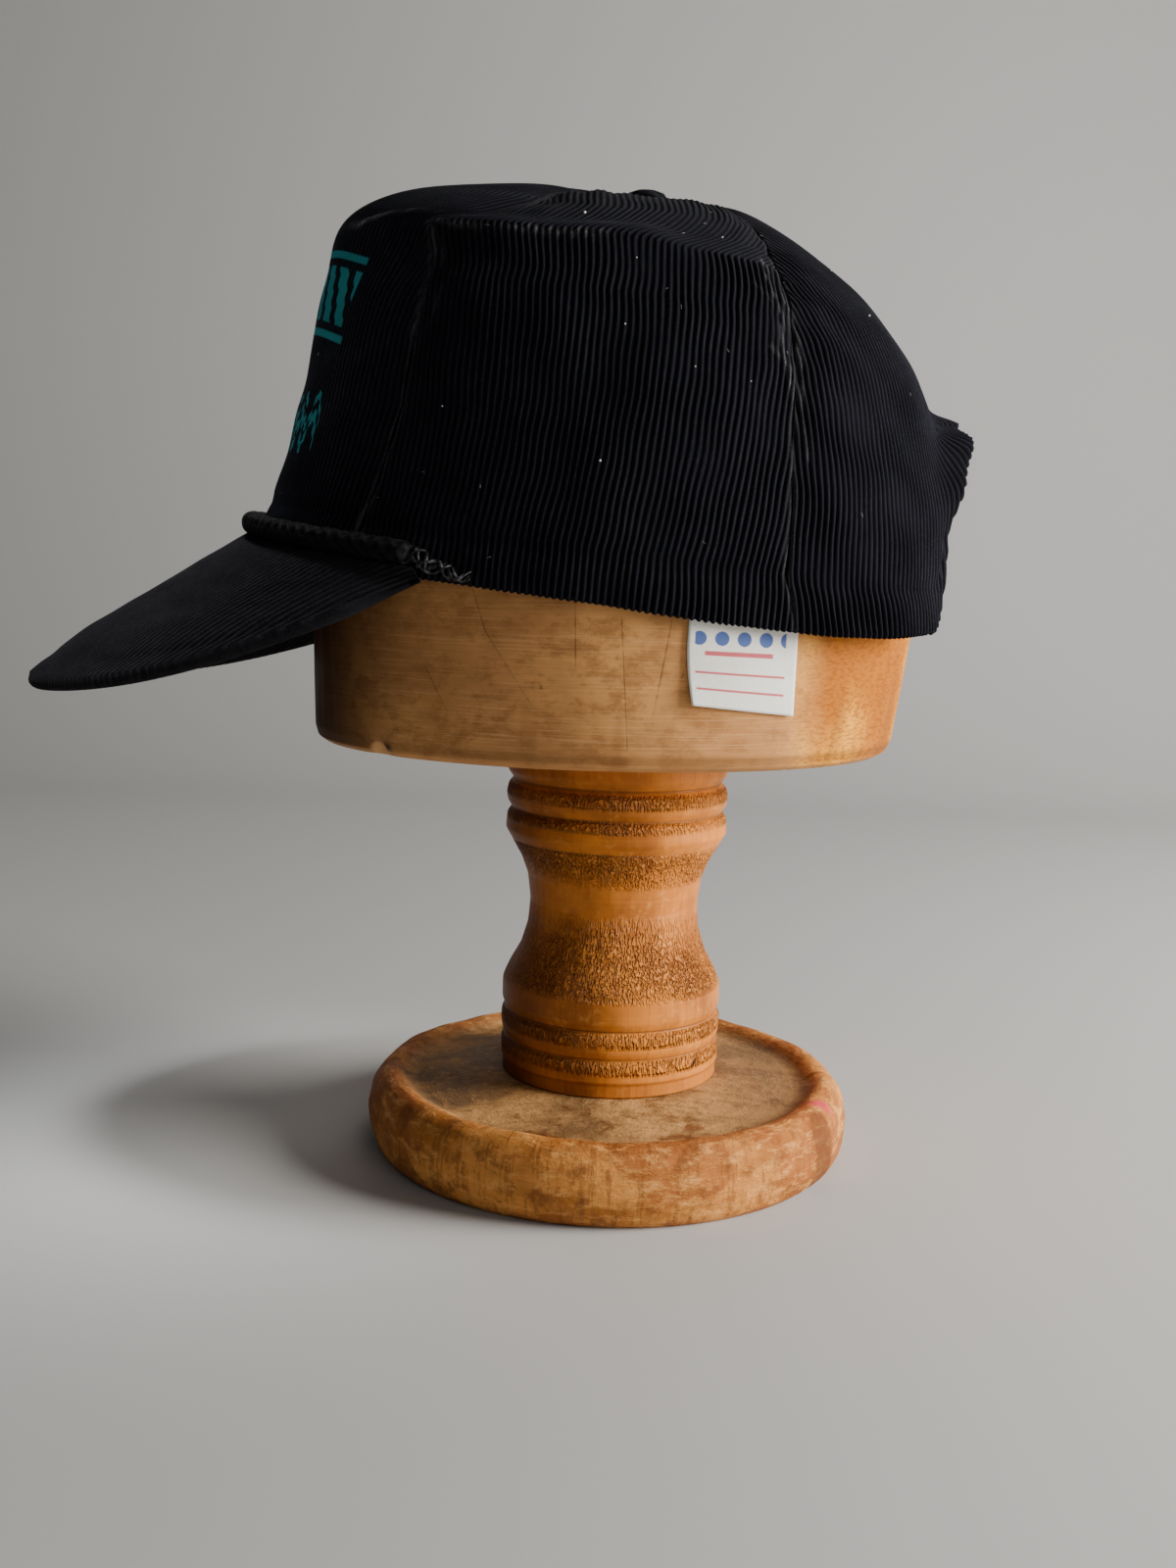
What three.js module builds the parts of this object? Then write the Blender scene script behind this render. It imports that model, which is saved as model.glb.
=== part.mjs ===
// A five-panel corduroy cap with a curved peak and a front rope, on a turned
// wooden hat stand.
//
// Millimetres, +Z up. The origin is on the stand's axis, on the surface it
// stands on. The peak points to -X, and the wearer's left side faces -Y.
import * as THREE from 'three';

// ---- Driving dimensions ------------------------------------------------------

const CLEARANCE = 0.3; // between neighbouring pieces
const CLOTH = 2.0; // wall of a corduroy panel
const AXIS_X = 3; // the crown's top centre, behind the stand's axis

// The crown's outer face is a stack of ovals. Each row is one oval: where it
// reaches at the front and the back, its half width, how square it is (2 is an
// ellipse), and its height at 0, 45, 90, 135 and 180 degrees from the front.
const CROWN_OVALS = [
  { name: 'rim', front: -106.5, back: 95, half: 82, square: 2.3, z: [182, 176, 167, 160.7, 164] },
  { name: 'band', front: -103, back: 95.5, half: 83, square: 2.2, z: [194, 189, 181, 176, 177] },
  { name: 'waist', front: -96.5, back: 92, half: 82, square: 2.1, z: [222, 218, 212, 207, 205] },
  { name: 'swell', front: -88.5, back: 81, half: 73, square: 2.1, z: [254, 251, 245, 239, 235] },
  { name: 'shoulder', front: -82, back: 57.5, half: 57, square: 2.15, z: [274, 270, 264, 261, 261] },
  { name: 'crest', front: -56, back: 30, half: 28, square: 2.1, z: [283.2, 281.5, 278.3, 277.8, 278.8] },
  { name: 'centre', front: -5, back: 11, half: 8, square: 2, z: [281, 281, 281, 281, 281] },
];
const CROWN_TOP = 281;
const CENTRING = 0.6; // how far an oval's middle follows its own length
const TOP_LEVEL = 6.55; // the panels end here, round a small hole under the button

// Where the two seams of each side lie, as angles from the front. A level
// counts ovals from the rim, so 2.5 is half way from the waist to the swell.
const SEAMS = [
  { level: 0, front: 49, back: 117 },
  { level: 1, front: 50, back: 115 },
  { level: 2, front: 53, back: 116 },
  { level: 3, front: 53, back: 119.5 },
  { level: 3.7, front: 54, back: 126 },
  { level: 4, front: 66, back: 130 },
  { level: 4.4, front: 74.5, back: 138 },
  { level: 5, front: 76.5, back: 150 },
  { level: TOP_LEVEL, front: 78, back: 156 },
];
const SEAM_SINK = 0.9; // how deep the cloth dips at a seam
const SEAM_REACH = 5; // degrees over which it dips

// Ridges (height above 0) and hollows (below 0) pressed into the cloth. Each
// runs between two angles and two levels, and is repeated on the other side.
const FOLDS = [
  { name: 'front corner', from: 30, to: 57, start: 3.55, end: 3.9, width: 0.22, height: 1.1 },
  { name: 'side shoulder', from: 57, to: 96, start: 3.62, end: 3.78, width: 0.2, height: 1.8 },
  { name: 'under shoulder', from: 55, to: 98, start: 3.2, end: 3.3, width: 0.3, height: -1.3 },
  { name: 'front crease', from: 3, to: 30, start: 2.1, end: 2.5, width: 0.25, height: -0.9 },
  { name: 'temple dent', from: 60, to: 84, start: 1.7, end: 2.0, width: 0.5, height: -1.1 },
];
const FOLD_FADE = 8; // degrees over which a fold runs out

// The opening at the back, over the strap, and the lip that flares round it.
const ARCH = { halfWidth: 37, height: 53 };
const LIP = { flare: 8.5, reach: 9, low: 186, full: 214, above: 8, ripple: 0.7, ripples: 6 };

// The mesh of a panel: the levels of its rows, and its columns.
const LEVELS = [
  0, 0.35, 0.7, 1, 1.35, 1.7, 2, 2.3, 2.6, 2.9, 3.2, 3.45, 3.7, 3.85, 4, 4.2, 4.4, 4.7, 5, 5.5, 6, TOP_LEVEL,
];
const ARCH_ROW = 9; // the row that meets the arch's top
const COLUMNS = { front: 16, side: 13, back: 10 };

// The peak: its plan, and how its edge drops away from the crown.
const PEAK = {
  thickness: 3,
  gap: 2.2 * CLEARANCE, // off the crown's plain face, so clear of its folds
  rearAngle: 61,
  level: 0.16,
  tip: -173,
  rear: -53,
  half: 78,
  square: 2.05,
  crestHeight: 183.3,
  crestStart: -110,
  slope: 0.53,
  droop: 0.0012,
  arch: 146,
  archFlare: 0.22,
  tipDrop: 5,
  roll: 0.013,
  swell: 2.2,
  columns: 24,
  rows: 6,
};

const ROPE = {
  radius: 3,
  gap: 0.25 + CLEARANCE, // off the crown
  sink: 1 - CLEARANCE, // into the corner, below a rope that lies on a flat peak
  rise: 0.2, // how much of the peak's slope lifts it again
  rearAngle: 67,
  leaveAngle: 61, // where it drops off the peak on to the crown
  endRise: 0.5,
  sides: 8,
  steps: 48,
  stops: 30,
};
const BUTTON = { radius: 6.6, height: 4, sides: 16 };
const BUTTON_PROFILE = [
  { r: 0.95, z: 0 },
  { r: 1, z: 0.25 },
  { r: 0.8, z: 0.72 },
  { r: 0.42, z: 0.95 },
  { r: 0.15, z: 1 },
];
const STRAP = { from: 147, thickness: 1.5, lowLevel: 0.2, highLevel: 1.25, columns: 12, rows: 3 };
const LABEL = {
  thickness: 0.8,
  gap: 1.4 * CLEARANCE, // off the block
  left: 15.3,
  right: 44,
  top: 166,
  bottom: 141.5,
  slant: 1.5,
  columns: 4,
  rows: 4,
};

// The block is a stack of ovals, the post and the base are turned.
const BLOCK_OVALS = [
  { z: 125, front: -88.5, back: 77.5, half: 73 },
  { z: 126.2, front: -90.2, back: 79.6, half: 75 },
  { z: 129, front: -91, back: 81, half: 76 },
  { z: 160, front: -91.2, back: 85, half: 79.4 },
  { z: 186, front: -91, back: 85.4, half: 79.8 },
  { z: 194, front: -88, back: 82.5, half: 76.5 },
  { z: 198.5, front: -80, back: 75, half: 69 },
  { z: 200, front: -66, back: 61, half: 56 },
];
const BLOCK_SIDES = 48;
const POST_TOP = BLOCK_OVALS[0].z - CLEARANCE;
const FLOOR_TOP = 23.5; // the middle of the base's dish
const POST_PROFILE = [
  { r: 33.1, z: POST_TOP },
  { r: 33.6, z: 120.5 },
  { r: 33.4, z: 116.2 },
  { r: 31.6, z: 113.7 },
  { r: 33.2, z: 111.6 },
  { r: 33.6, z: 109.3 },
  { r: 33.3, z: 107 },
  { r: 31.9, z: 104.9 },
  { r: 33.3, z: 102.8 },
  { r: 33.6, z: 98.5 },
  { r: 31.4, z: 94.7 },
  { r: 28.7, z: 90 },
  { r: 26.6, z: 84.3 },
  { r: 25.6, z: 76.5 },
  { r: 26.1, z: 69 },
  { r: 28.2, z: 61.8 },
  { r: 31.4, z: 56 },
  { r: 33.4, z: 51.5 },
  { r: 33.5, z: 45.8 },
  { r: 32.6, z: 43.4 },
  { r: 33.6, z: 41.4 },
  { r: 33.6, z: 37 },
  { r: 32.7, z: 35 },
  { r: 33.6, z: 33.2 },
  { r: 33.6, z: 28 },
  { r: 33, z: 27.6 },
  { r: 33, z: FLOOR_TOP + CLEARANCE },
];
const POST_SIDES = 32;
const BASE_PROFILE = [
  { r: 69, z: 0 },
  { r: 71.5, z: 2 },
  { r: 73.4, z: 7 },
  { r: 73.8, z: 12 },
  { r: 72.6, z: 18 },
  { r: 69.8, z: 21.8 },
  { r: 66.7, z: 23.2 },
  { r: 64, z: 22.6 },
  { r: 61.9, z: 20.8 },
  { r: 59.5, z: 20 },
  { r: 37, z: FLOOR_TOP },
];
const BASE_SIDES = 44;

const FINISHES = {
  corduroy: { color: 0x1b1c22, roughness: 0.95, metalness: 0 },
  rope: { color: 0x0b0b0d, roughness: 0.7, metalness: 0 },
  strap: { color: 0x101012, roughness: 0.45, metalness: 0 },
  label: { color: 0xe9e0cb, roughness: 0.8, metalness: 0 },
  block: { color: 0xb98a55, roughness: 0.6, metalness: 0 },
  turned: { color: 0xa05a26, roughness: 0.5, metalness: 0 },
  base: { color: 0xb5793f, roughness: 0.6, metalness: 0 },
};

// ---- Small tools ---------------------------------------------------------------

const { degToRad, lerp, clamp, smoothstep } = THREE.MathUtils;

function bell(distance, width) {
  return Math.exp(-((distance / width) ** 2));
}

// A smooth periodic curve through heights at 0, 45, 90, 135 and 180 degrees.
function heightAt(heights, angle) {
  const last = heights.length - 1;
  let height = 0;
  for (let wave = 0; wave <= last; wave += 1) {
    let share = 0;
    heights.forEach((value, index) => {
      const end = index === 0 || index === last ? 0.5 : 1;
      share += end * value * Math.cos((Math.PI * index * wave) / last);
    });
    const halved = wave === 0 || wave === last ? 0.5 : 1;
    height += ((2 * halved * share) / last) * Math.cos(wave * degToRad(angle));
  }
  return height;
}

// The value of a column of SEAMS at a level.
function seamAngle(column, level) {
  const above = SEAMS.findIndex((row) => row.level >= level);
  if (above <= 0) {
    return SEAMS[0][column];
  }
  const low = SEAMS[above - 1];
  const high = SEAMS[above];
  return lerp(low[column], high[column], (level - low.level) / (high.level - low.level));
}

// A closed solid between two grids of points, each an array of rows.
function solidBetween(outer, inner) {
  const rows = outer.length;
  const columns = outer[0].length;
  const count = rows * columns;
  const points = [...outer.flat(), ...inner.flat()];
  const index = [];
  const quad = (a, b, c, d) => index.push(a, b, c, a, c, d);
  for (let row = 0; row < rows - 1; row += 1) {
    for (let column = 0; column < columns - 1; column += 1) {
      const a = row * columns + column;
      const b = a + columns;
      quad(a, a + 1, b + 1, b);
      quad(a + count, b + count, b + 1 + count, a + 1 + count);
    }
  }
  const border = [];
  for (let column = 0; column < columns - 1; column += 1) {
    border.push(column);
  }
  for (let row = 0; row < rows - 1; row += 1) {
    border.push(row * columns + columns - 1);
  }
  for (let column = columns - 1; column > 0; column -= 1) {
    border.push((rows - 1) * columns + column);
  }
  for (let row = rows - 1; row > 0; row -= 1) {
    border.push(row * columns);
  }
  border.forEach((a, place) => {
    const b = border[(place + 1) % border.length];
    quad(a, a + count, b + count, b);
  });
  return facingOut(points, index);
}

// A closed solid through a stack of rings, with a flat fan at each end.
function solidThroughRings(rings) {
  const sides = rings[0].length;
  const points = rings.flat();
  const index = [];
  for (let ring = 0; ring < rings.length - 1; ring += 1) {
    for (let side = 0; side < sides; side += 1) {
      const a = ring * sides + side;
      const b = ring * sides + ((side + 1) % sides);
      index.push(a, b, b + sides, a, b + sides, a + sides);
    }
  }
  const top = (rings.length - 1) * sides;
  for (let side = 1; side < sides - 1; side += 1) {
    index.push(0, side + 1, side);
    index.push(top, top + side, top + side + 1);
  }
  return facingOut(points, index);
}

// A geometry whose faces point out, whichever way its grid was wound.
function facingOut(points, index) {
  let volume = 0;
  const cross = new THREE.Vector3();
  for (let face = 0; face < index.length; face += 3) {
    const [a, b, c] = index.slice(face, face + 3).map((corner) => points[corner]);
    volume += cross.crossVectors(b, c).dot(a);
  }
  if (volume < 0) {
    index.reverse();
  }
  const geometry = new THREE.BufferGeometry();
  geometry.setFromPoints(points);
  geometry.setIndex(index);
  return geometry;
}

// A turned solid from its outline, which runs beside the axis.
function turned(profile, sides) {
  const outline = profile.map(({ r, z }) => new THREE.Vector2(r, z));
  outline.unshift(new THREE.Vector2(0, profile[0].z));
  outline.push(new THREE.Vector2(0, profile[profile.length - 1].z));
  if (profile[0].z > profile[profile.length - 1].z) {
    outline.reverse();
  }
  const geometry = new THREE.LatheGeometry(outline, sides);
  geometry.rotateX(Math.PI / 2);
  return geometry;
}

// ---- The crown's surface -------------------------------------------------------

// A point of one oval. Angles run from the front over the wearer's left side.
function ovalPoint(oval, angle) {
  const isTop = oval.name === 'centre';
  const middle = isTop ? AXIS_X : (CENTRING * (oval.front + oval.back)) / 2;
  const forward = Math.cos(degToRad(angle));
  const sideways = Math.sin(degToRad(angle));
  const power = Math.abs(forward) ** oval.square + Math.abs(sideways) ** oval.square;
  const scale = power ** (-1 / oval.square);
  const reach = forward > 0 ? middle - oval.front : oval.back - middle;
  return new THREE.Vector3(
    middle - reach * forward * scale,
    -oval.half * sideways * scale,
    heightAt(oval.z, angle),
  );
}

const crownSections = new Map();

// The curve from the rim to the top centre at one angle.
function crownSection(angle) {
  if (!crownSections.has(angle)) {
    const points = CROWN_OVALS.map((oval) => ovalPoint(oval, angle));
    points.push(new THREE.Vector3(AXIS_X, 0, CROWN_TOP));
    crownSections.set(angle, new THREE.CatmullRomCurve3(points, false, 'centripetal'));
  }
  return crownSections.get(angle);
}

function smoothCrown(angle, level) {
  return crownSection(angle).getPoint(level / CROWN_OVALS.length);
}

// Directions on the crown: up the section, along the oval, and out of the cloth.
function crownFrame(angle, level) {
  const step = 0.05; // of a level
  const low = Math.max(level - step, 0);
  const up = smoothCrown(angle, level + step).sub(smoothCrown(angle, low)).normalize();
  const along = smoothCrown(angle + 1, level).sub(smoothCrown(angle - 1, level)).normalize();
  const out = new THREE.Vector3().crossVectors(along, up).normalize();
  return { up, along, out };
}

// How far the folds and the seams push the cloth out at a point.
function foldRelief(angle, level) {
  const turn = Math.abs(angle);
  let relief = 0;
  FOLDS.forEach((fold) => {
    const share = (turn - fold.from) / (fold.to - fold.from);
    const along = clamp(share, 0, 1);
    const beyond = Math.abs(share - along) * (fold.to - fold.from);
    const middle = lerp(fold.start, fold.end, along);
    relief += fold.height * bell(level - middle, fold.width) * bell(beyond, FOLD_FADE);
  });
  ['front', 'back'].forEach((column) => {
    relief -= SEAM_SINK * bell(turn - seamAngle(column, level), SEAM_REACH);
  });
  return relief;
}

// A point of the cloth, `depth` under its outer face.
function clothPoint(angle, level, depth, lift) {
  const { out } = crownFrame(angle, level);
  const point = smoothCrown(angle, level);
  return point.addScaledVector(out, foldRelief(angle, level) + lift - depth);
}

// Moves a point sideways off a seam, which runs between two of its neighbours.
function besideSeam(point, before, after, out, side) {
  const run = after.clone().sub(before);
  const across = new THREE.Vector3().crossVectors(run, out).normalize();
  return point.addScaledVector(across, (side * CLEARANCE) / 2);
}

// A panel between two edges. Each edge gives [angle, level] for a row.
function panel(leftEdge, rightEdge, columns, liftAt = () => 0) {
  const lastRow = LEVELS.length - 1;
  const place = (row, column) => {
    const [leftAngle, leftLevel] = leftEdge(row);
    const [rightAngle, rightLevel] = rightEdge(row);
    const share = column / columns;
    return [lerp(leftAngle, rightAngle, share), lerp(leftLevel, rightLevel, share)];
  };
  const face = (depth) => LEVELS.map((_, row) => {
    const line = [];
    for (let column = 0; column <= columns; column += 1) {
      const [angle, level] = place(row, column);
      const point = clothPoint(angle, level, depth, liftAt(row, column));
      const side = Number(column === 0) - Number(column === columns);
      if (side !== 0) {
        const before = smoothCrown(...place(Math.max(row - 1, 0), column));
        const after = smoothCrown(...place(Math.min(row + 1, lastRow), column));
        besideSeam(point, before, after, crownFrame(angle, level).out, side);
      }
      line.push(point);
    }
    return line;
  });
  return solidBetween(face(0), face(CLOTH));
}

const seamEdge = (column, sign) => (row) => [sign * seamAngle(column, LEVELS[row]), LEVELS[row]];

// ---- The back opening ----------------------------------------------------------

const BACK = 180;
const backHeights = CROWN_OVALS.map((oval) => oval.z[oval.z.length - 1]);

// The level of a height on the centre line of the back.
function backLevel(z) {
  const above = backHeights.findIndex((height) => height > z);
  const low = backHeights[above - 1];
  return above - 1 + (z - low) / (backHeights[above] - low);
}

const archTop = backLevel(backHeights[0] + ARCH.height);
const archAngle = Math.asin(ARCH.halfWidth / CROWN_OVALS[0].half) * THREE.MathUtils.RAD2DEG;

// The inner edge of a back panel: up the arch, then up the centre seam.
function archEdge(row) {
  if (row <= ARCH_ROW) {
    const turn = (Math.PI / 2) * (row / ARCH_ROW);
    const z = backHeights[0] + ARCH.height * Math.sin(turn);
    return [BACK - archAngle * Math.cos(turn), backLevel(z)];
  }
  const share = (LEVELS[row] - LEVELS[ARCH_ROW]) / (TOP_LEVEL - LEVELS[ARCH_ROW]);
  return [BACK, lerp(archTop, TOP_LEVEL, share)];
}

// The lip stands out along the upper arch and dies away over the centre seam.
function lipLift(row, column) {
  const span = (COLUMNS.back - column) * (panelWidthAtBack(row) / COLUMNS.back);
  const [edgeAngle, edgeLevel] = archEdge(row);
  const edge = smoothCrown(edgeAngle, edgeLevel);
  const top = backHeights[0] + ARCH.height;
  const rise = smoothstep(edge.z, LIP.low, LIP.full);
  const fade = 1 - smoothstep(edge.z, top, top + LIP.above);
  const wave = LIP.ripple * Math.sin((LIP.ripples * Math.PI * row) / ARCH_ROW);
  return (LIP.flare + wave) * rise * fade * bell(span, LIP.reach);
}

function panelWidthAtBack(row) {
  const [angle, level] = archEdge(row);
  const seam = smoothCrown(seamAngle('back', LEVELS[row]), LEVELS[row]);
  return smoothCrown(angle, level).distanceTo(seam);
}

const mirrored = (edge) => (row) => {
  const [angle, level] = edge(row);
  return [-angle, level];
};

function frontPanel() {
  return panel(seamEdge('front', -1), seamEdge('front', 1), COLUMNS.front);
}

function sidePanel(sign) {
  const edges = [seamEdge('front', sign), seamEdge('back', sign)];
  const [left, right] = sign > 0 ? edges : edges.reverse();
  return panel(left, right, COLUMNS.side);
}

function backPanel(sign) {
  if (sign > 0) {
    return panel(seamEdge('back', 1), archEdge, COLUMNS.back, lipLift);
  }
  const lift = (row, column) => lipLift(row, COLUMNS.back - column);
  return panel(mirrored(archEdge), seamEdge('back', -1), COLUMNS.back, lift);
}

// ---- The peak, the rope and the small pieces -------------------------------------

// The height of the peak's upper face at a place.
function peakHeight(x, y) {
  const ahead = PEAK.crestStart - x;
  const crest = PEAK.crestHeight - PEAK.slope * ahead - PEAK.droop * ahead * ahead;
  const arch = PEAK.arch - PEAK.archFlare * ahead;
  return crest - (y * y) / arch - PEAK.roll * y;
}

// The outer edge of the peak, for a place across it from -1 to 1.
function peakEdge(across) {
  const turn = (Math.PI / 2) * Math.min(Math.abs(across), 1);
  const x = PEAK.rear + (PEAK.tip - PEAK.rear) * Math.cos(turn) ** (2 / PEAK.square);
  const y = -Math.sign(across) * PEAK.half * Math.sin(turn) ** (2 / PEAK.square);
  const tipward = Math.cos(turn) ** 2;
  return new THREE.Vector3(x, y, peakHeight(x, y) - PEAK.tipDrop * tipward);
}

// Where the peak meets the crown, a clearance off the cloth.
function peakRoot(across) {
  const angle = across * PEAK.rearAngle;
  const { out, up } = crownFrame(angle, PEAK.level);
  return { point: smoothCrown(angle, PEAK.level).addScaledVector(out, PEAK.gap), up };
}

function peakPoint(across, share) {
  const root = peakRoot(across).point;
  const point = root.clone().lerp(peakEdge(across), share);
  point.z += PEAK.swell * Math.sin(Math.PI * share) * Math.cos((Math.PI / 2) * across);
  return point;
}

function peak() {
  const step = 0.02; // between the points that give a normal
  const rootLean = 1.5 / PEAK.rows; // the share over which the root's tilt dies away
  const face = (side) => {
    const grid = [];
    for (let row = 0; row <= PEAK.rows; row += 1) {
      const share = row / PEAK.rows;
      const line = [];
      for (let column = 0; column <= PEAK.columns; column += 1) {
        const across = (2 * column) / PEAK.columns - 1;
        const point = peakPoint(across, share);
        const ahead = peakPoint(across, share + step).sub(peakPoint(across, share - step));
        const beside = peakPoint(across + step, share).sub(peakPoint(across - step, share));
        const normal = new THREE.Vector3().crossVectors(beside, ahead).normalize();
        normal.multiplyScalar(Math.sign(normal.z));
        const lean = smoothstep(share, 0, rootLean);
        const away = peakRoot(across).up.clone().lerp(normal, lean).normalize();
        line.push(point.addScaledVector(away, (side * PEAK.thickness) / 2));
      }
      grid.push(line);
    }
    return grid;
  };
  return solidBetween(face(1), face(-1));
}

// The rope lies in the corner between the crown and the peak.
function ropePath() {
  const points = [];
  for (let stop = 0; stop <= ROPE.stops; stop += 1) {
    const angle = lerp(-ROPE.rearAngle, ROPE.rearAngle, stop / ROPE.stops);
    const across = clamp(angle / PEAK.rearAngle, -1, 1);
    const { up, out } = crownFrame(angle, PEAK.level);
    const slope = peakPoint(across, 0.1).sub(peakPoint(across, 0)).normalize();
    const lift = ROPE.radius * (1 + Math.max(0, -slope.dot(up)) * ROPE.rise);
    const over = PEAK.thickness / 2 + lift - ROPE.sink;
    const leaving = smoothstep(Math.abs(angle), ROPE.leaveAngle, ROPE.rearAngle);
    const point = smoothCrown(angle, PEAK.level);
    point.addScaledVector(out, ROPE.radius + ROPE.gap);
    points.push(point.addScaledVector(up, lerp(over, ROPE.endRise, leaving)));
  }
  return new THREE.CatmullRomCurve3(points, false, 'centripetal');
}

function rope() {
  const section = new THREE.Shape();
  section.absarc(0, 0, ROPE.radius, 0, 2 * Math.PI);
  return new THREE.ExtrudeGeometry(section, {
    steps: ROPE.steps,
    curveSegments: ROPE.sides / 2,
    bevelEnabled: false,
    extrudePath: ropePath(),
  });
}

function button() {
  const profile = BUTTON_PROFILE.map(({ r, z }) => (
    { r: BUTTON.radius * r, z: CROWN_TOP + CLEARANCE + BUTTON.height * z }
  ));
  return turned(profile, BUTTON.sides);
}

// The strap closes the back opening, just inside the cloth.
function strap() {
  const face = (depth) => {
    const grid = [];
    for (let row = 0; row <= STRAP.rows; row += 1) {
      const line = [];
      for (let column = 0; column <= STRAP.columns; column += 1) {
        const angle = lerp(STRAP.from, 2 * BACK - STRAP.from, column / STRAP.columns);
        const turn = angle > BACK ? angle - 2 * BACK : angle;
        const level = lerp(STRAP.lowLevel, STRAP.highLevel, row / STRAP.rows);
        const { out } = crownFrame(turn, level);
        line.push(smoothCrown(turn, level).addScaledVector(out, -depth));
      }
      grid.push(line);
    }
    return grid;
  };
  const near = CLOTH + 2 * CLEARANCE;
  return solidBetween(face(near), face(near + STRAP.thickness));
}

// ---- The stand ---------------------------------------------------------------

function blockPoint(oval, angle) {
  const middle = (oval.front + oval.back) / 2;
  const length = (oval.back - oval.front) / 2;
  return new THREE.Vector3(
    middle + length * Math.cos(angle),
    oval.half * Math.sin(angle),
    oval.z,
  );
}

function block() {
  const rings = BLOCK_OVALS.map((oval) => {
    const ring = [];
    for (let side = 0; side < BLOCK_SIDES; side += 1) {
      ring.push(blockPoint(oval, (2 * Math.PI * side) / BLOCK_SIDES));
    }
    return ring;
  });
  return solidThroughRings(rings);
}

// The block's oval at a height, for what lies against it.
function blockOvalAt(z) {
  const above = BLOCK_OVALS.findIndex((oval) => oval.z >= z);
  const low = BLOCK_OVALS[above - 1];
  const high = BLOCK_OVALS[above];
  const share = (z - low.z) / (high.z - low.z);
  return {
    z,
    front: lerp(low.front, high.front, share),
    back: lerp(low.back, high.back, share),
    half: lerp(low.half, high.half, share),
  };
}

// The label is sewn inside the rim and hangs down the block's side.
function label() {
  const face = (away) => {
    const grid = [];
    for (let row = 0; row <= LABEL.rows; row += 1) {
      const down = row / LABEL.rows;
      const line = [];
      for (let column = 0; column <= LABEL.columns; column += 1) {
        const share = column / LABEL.columns;
        const z = lerp(LABEL.top, LABEL.bottom, down) - LABEL.slant * (2 * share - 1) * down;
        const x = lerp(LABEL.left, LABEL.right, share) + LABEL.slant * down * (1 - share);
        const oval = blockOvalAt(z);
        const middle = (oval.front + oval.back) / 2;
        const length = (oval.back - oval.front) / 2;
        const y = -oval.half * Math.sqrt(1 - ((x - middle) / length) ** 2);
        line.push(new THREE.Vector3(x, y - away, z));
      }
      grid.push(line);
    }
    return grid;
  };
  return solidBetween(face(LABEL.gap + LABEL.thickness), face(LABEL.gap));
}

// ---- The object ----------------------------------------------------------------

const cap = new THREE.Group();

function add(name, geometry, finish) {
  const material = new THREE.MeshStandardMaterial(FINISHES[finish]);
  const mesh = new THREE.Mesh(geometry, material);
  mesh.name = name;
  cap.add(mesh);
}

add('front_panel', frontPanel(), 'corduroy');
add('left_side_panel', sidePanel(1), 'corduroy');
add('right_side_panel', sidePanel(-1), 'corduroy');
add('left_back_panel', backPanel(1), 'corduroy');
add('right_back_panel', backPanel(-1), 'corduroy');
add('top_button', button().translate(AXIS_X, 0, 0), 'corduroy');
add('peak', peak(), 'corduroy');
add('front_rope', rope(), 'rope');
add('snap_strap', strap(), 'strap');
add('sewn_label', label(), 'label');
add('hat_block', block(), 'block');
add('stand_post', turned(POST_PROFILE, POST_SIDES), 'turned');
add('stand_base', turned(BASE_PROFILE, BASE_SIDES), 'base');

export default cap;
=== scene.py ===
"""Looks of a corduroy cap with a braided rope, on a turned wooden hat stand.

Tables are in millimetres and degrees, +Z up. The peak points to -X, and the wearer's left side faces -Y.
An angle on the crown runs from the front over the left side. A level counts the crown's ovals from the rim.
On the cloth, q runs across the ribs from a panel's middle, and s along them from the rim, in millimetres.
"""

import functools
import math

import bpy
import numpy as np
from mathutils import Matrix, Vector


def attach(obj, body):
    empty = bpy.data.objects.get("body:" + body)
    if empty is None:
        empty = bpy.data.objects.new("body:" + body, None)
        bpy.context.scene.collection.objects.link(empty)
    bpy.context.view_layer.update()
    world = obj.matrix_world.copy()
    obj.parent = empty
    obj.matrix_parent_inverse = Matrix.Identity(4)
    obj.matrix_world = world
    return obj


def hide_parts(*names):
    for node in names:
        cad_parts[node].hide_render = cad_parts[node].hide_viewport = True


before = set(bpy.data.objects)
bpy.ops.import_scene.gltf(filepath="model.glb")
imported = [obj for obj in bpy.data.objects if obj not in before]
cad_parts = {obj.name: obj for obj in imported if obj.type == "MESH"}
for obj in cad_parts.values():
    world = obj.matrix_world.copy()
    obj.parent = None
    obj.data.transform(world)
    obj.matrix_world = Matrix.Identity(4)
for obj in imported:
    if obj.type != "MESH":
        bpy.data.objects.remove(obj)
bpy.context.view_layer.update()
MM = 0.001


# ---- The crown, by the same tables as the CAD ----

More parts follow.
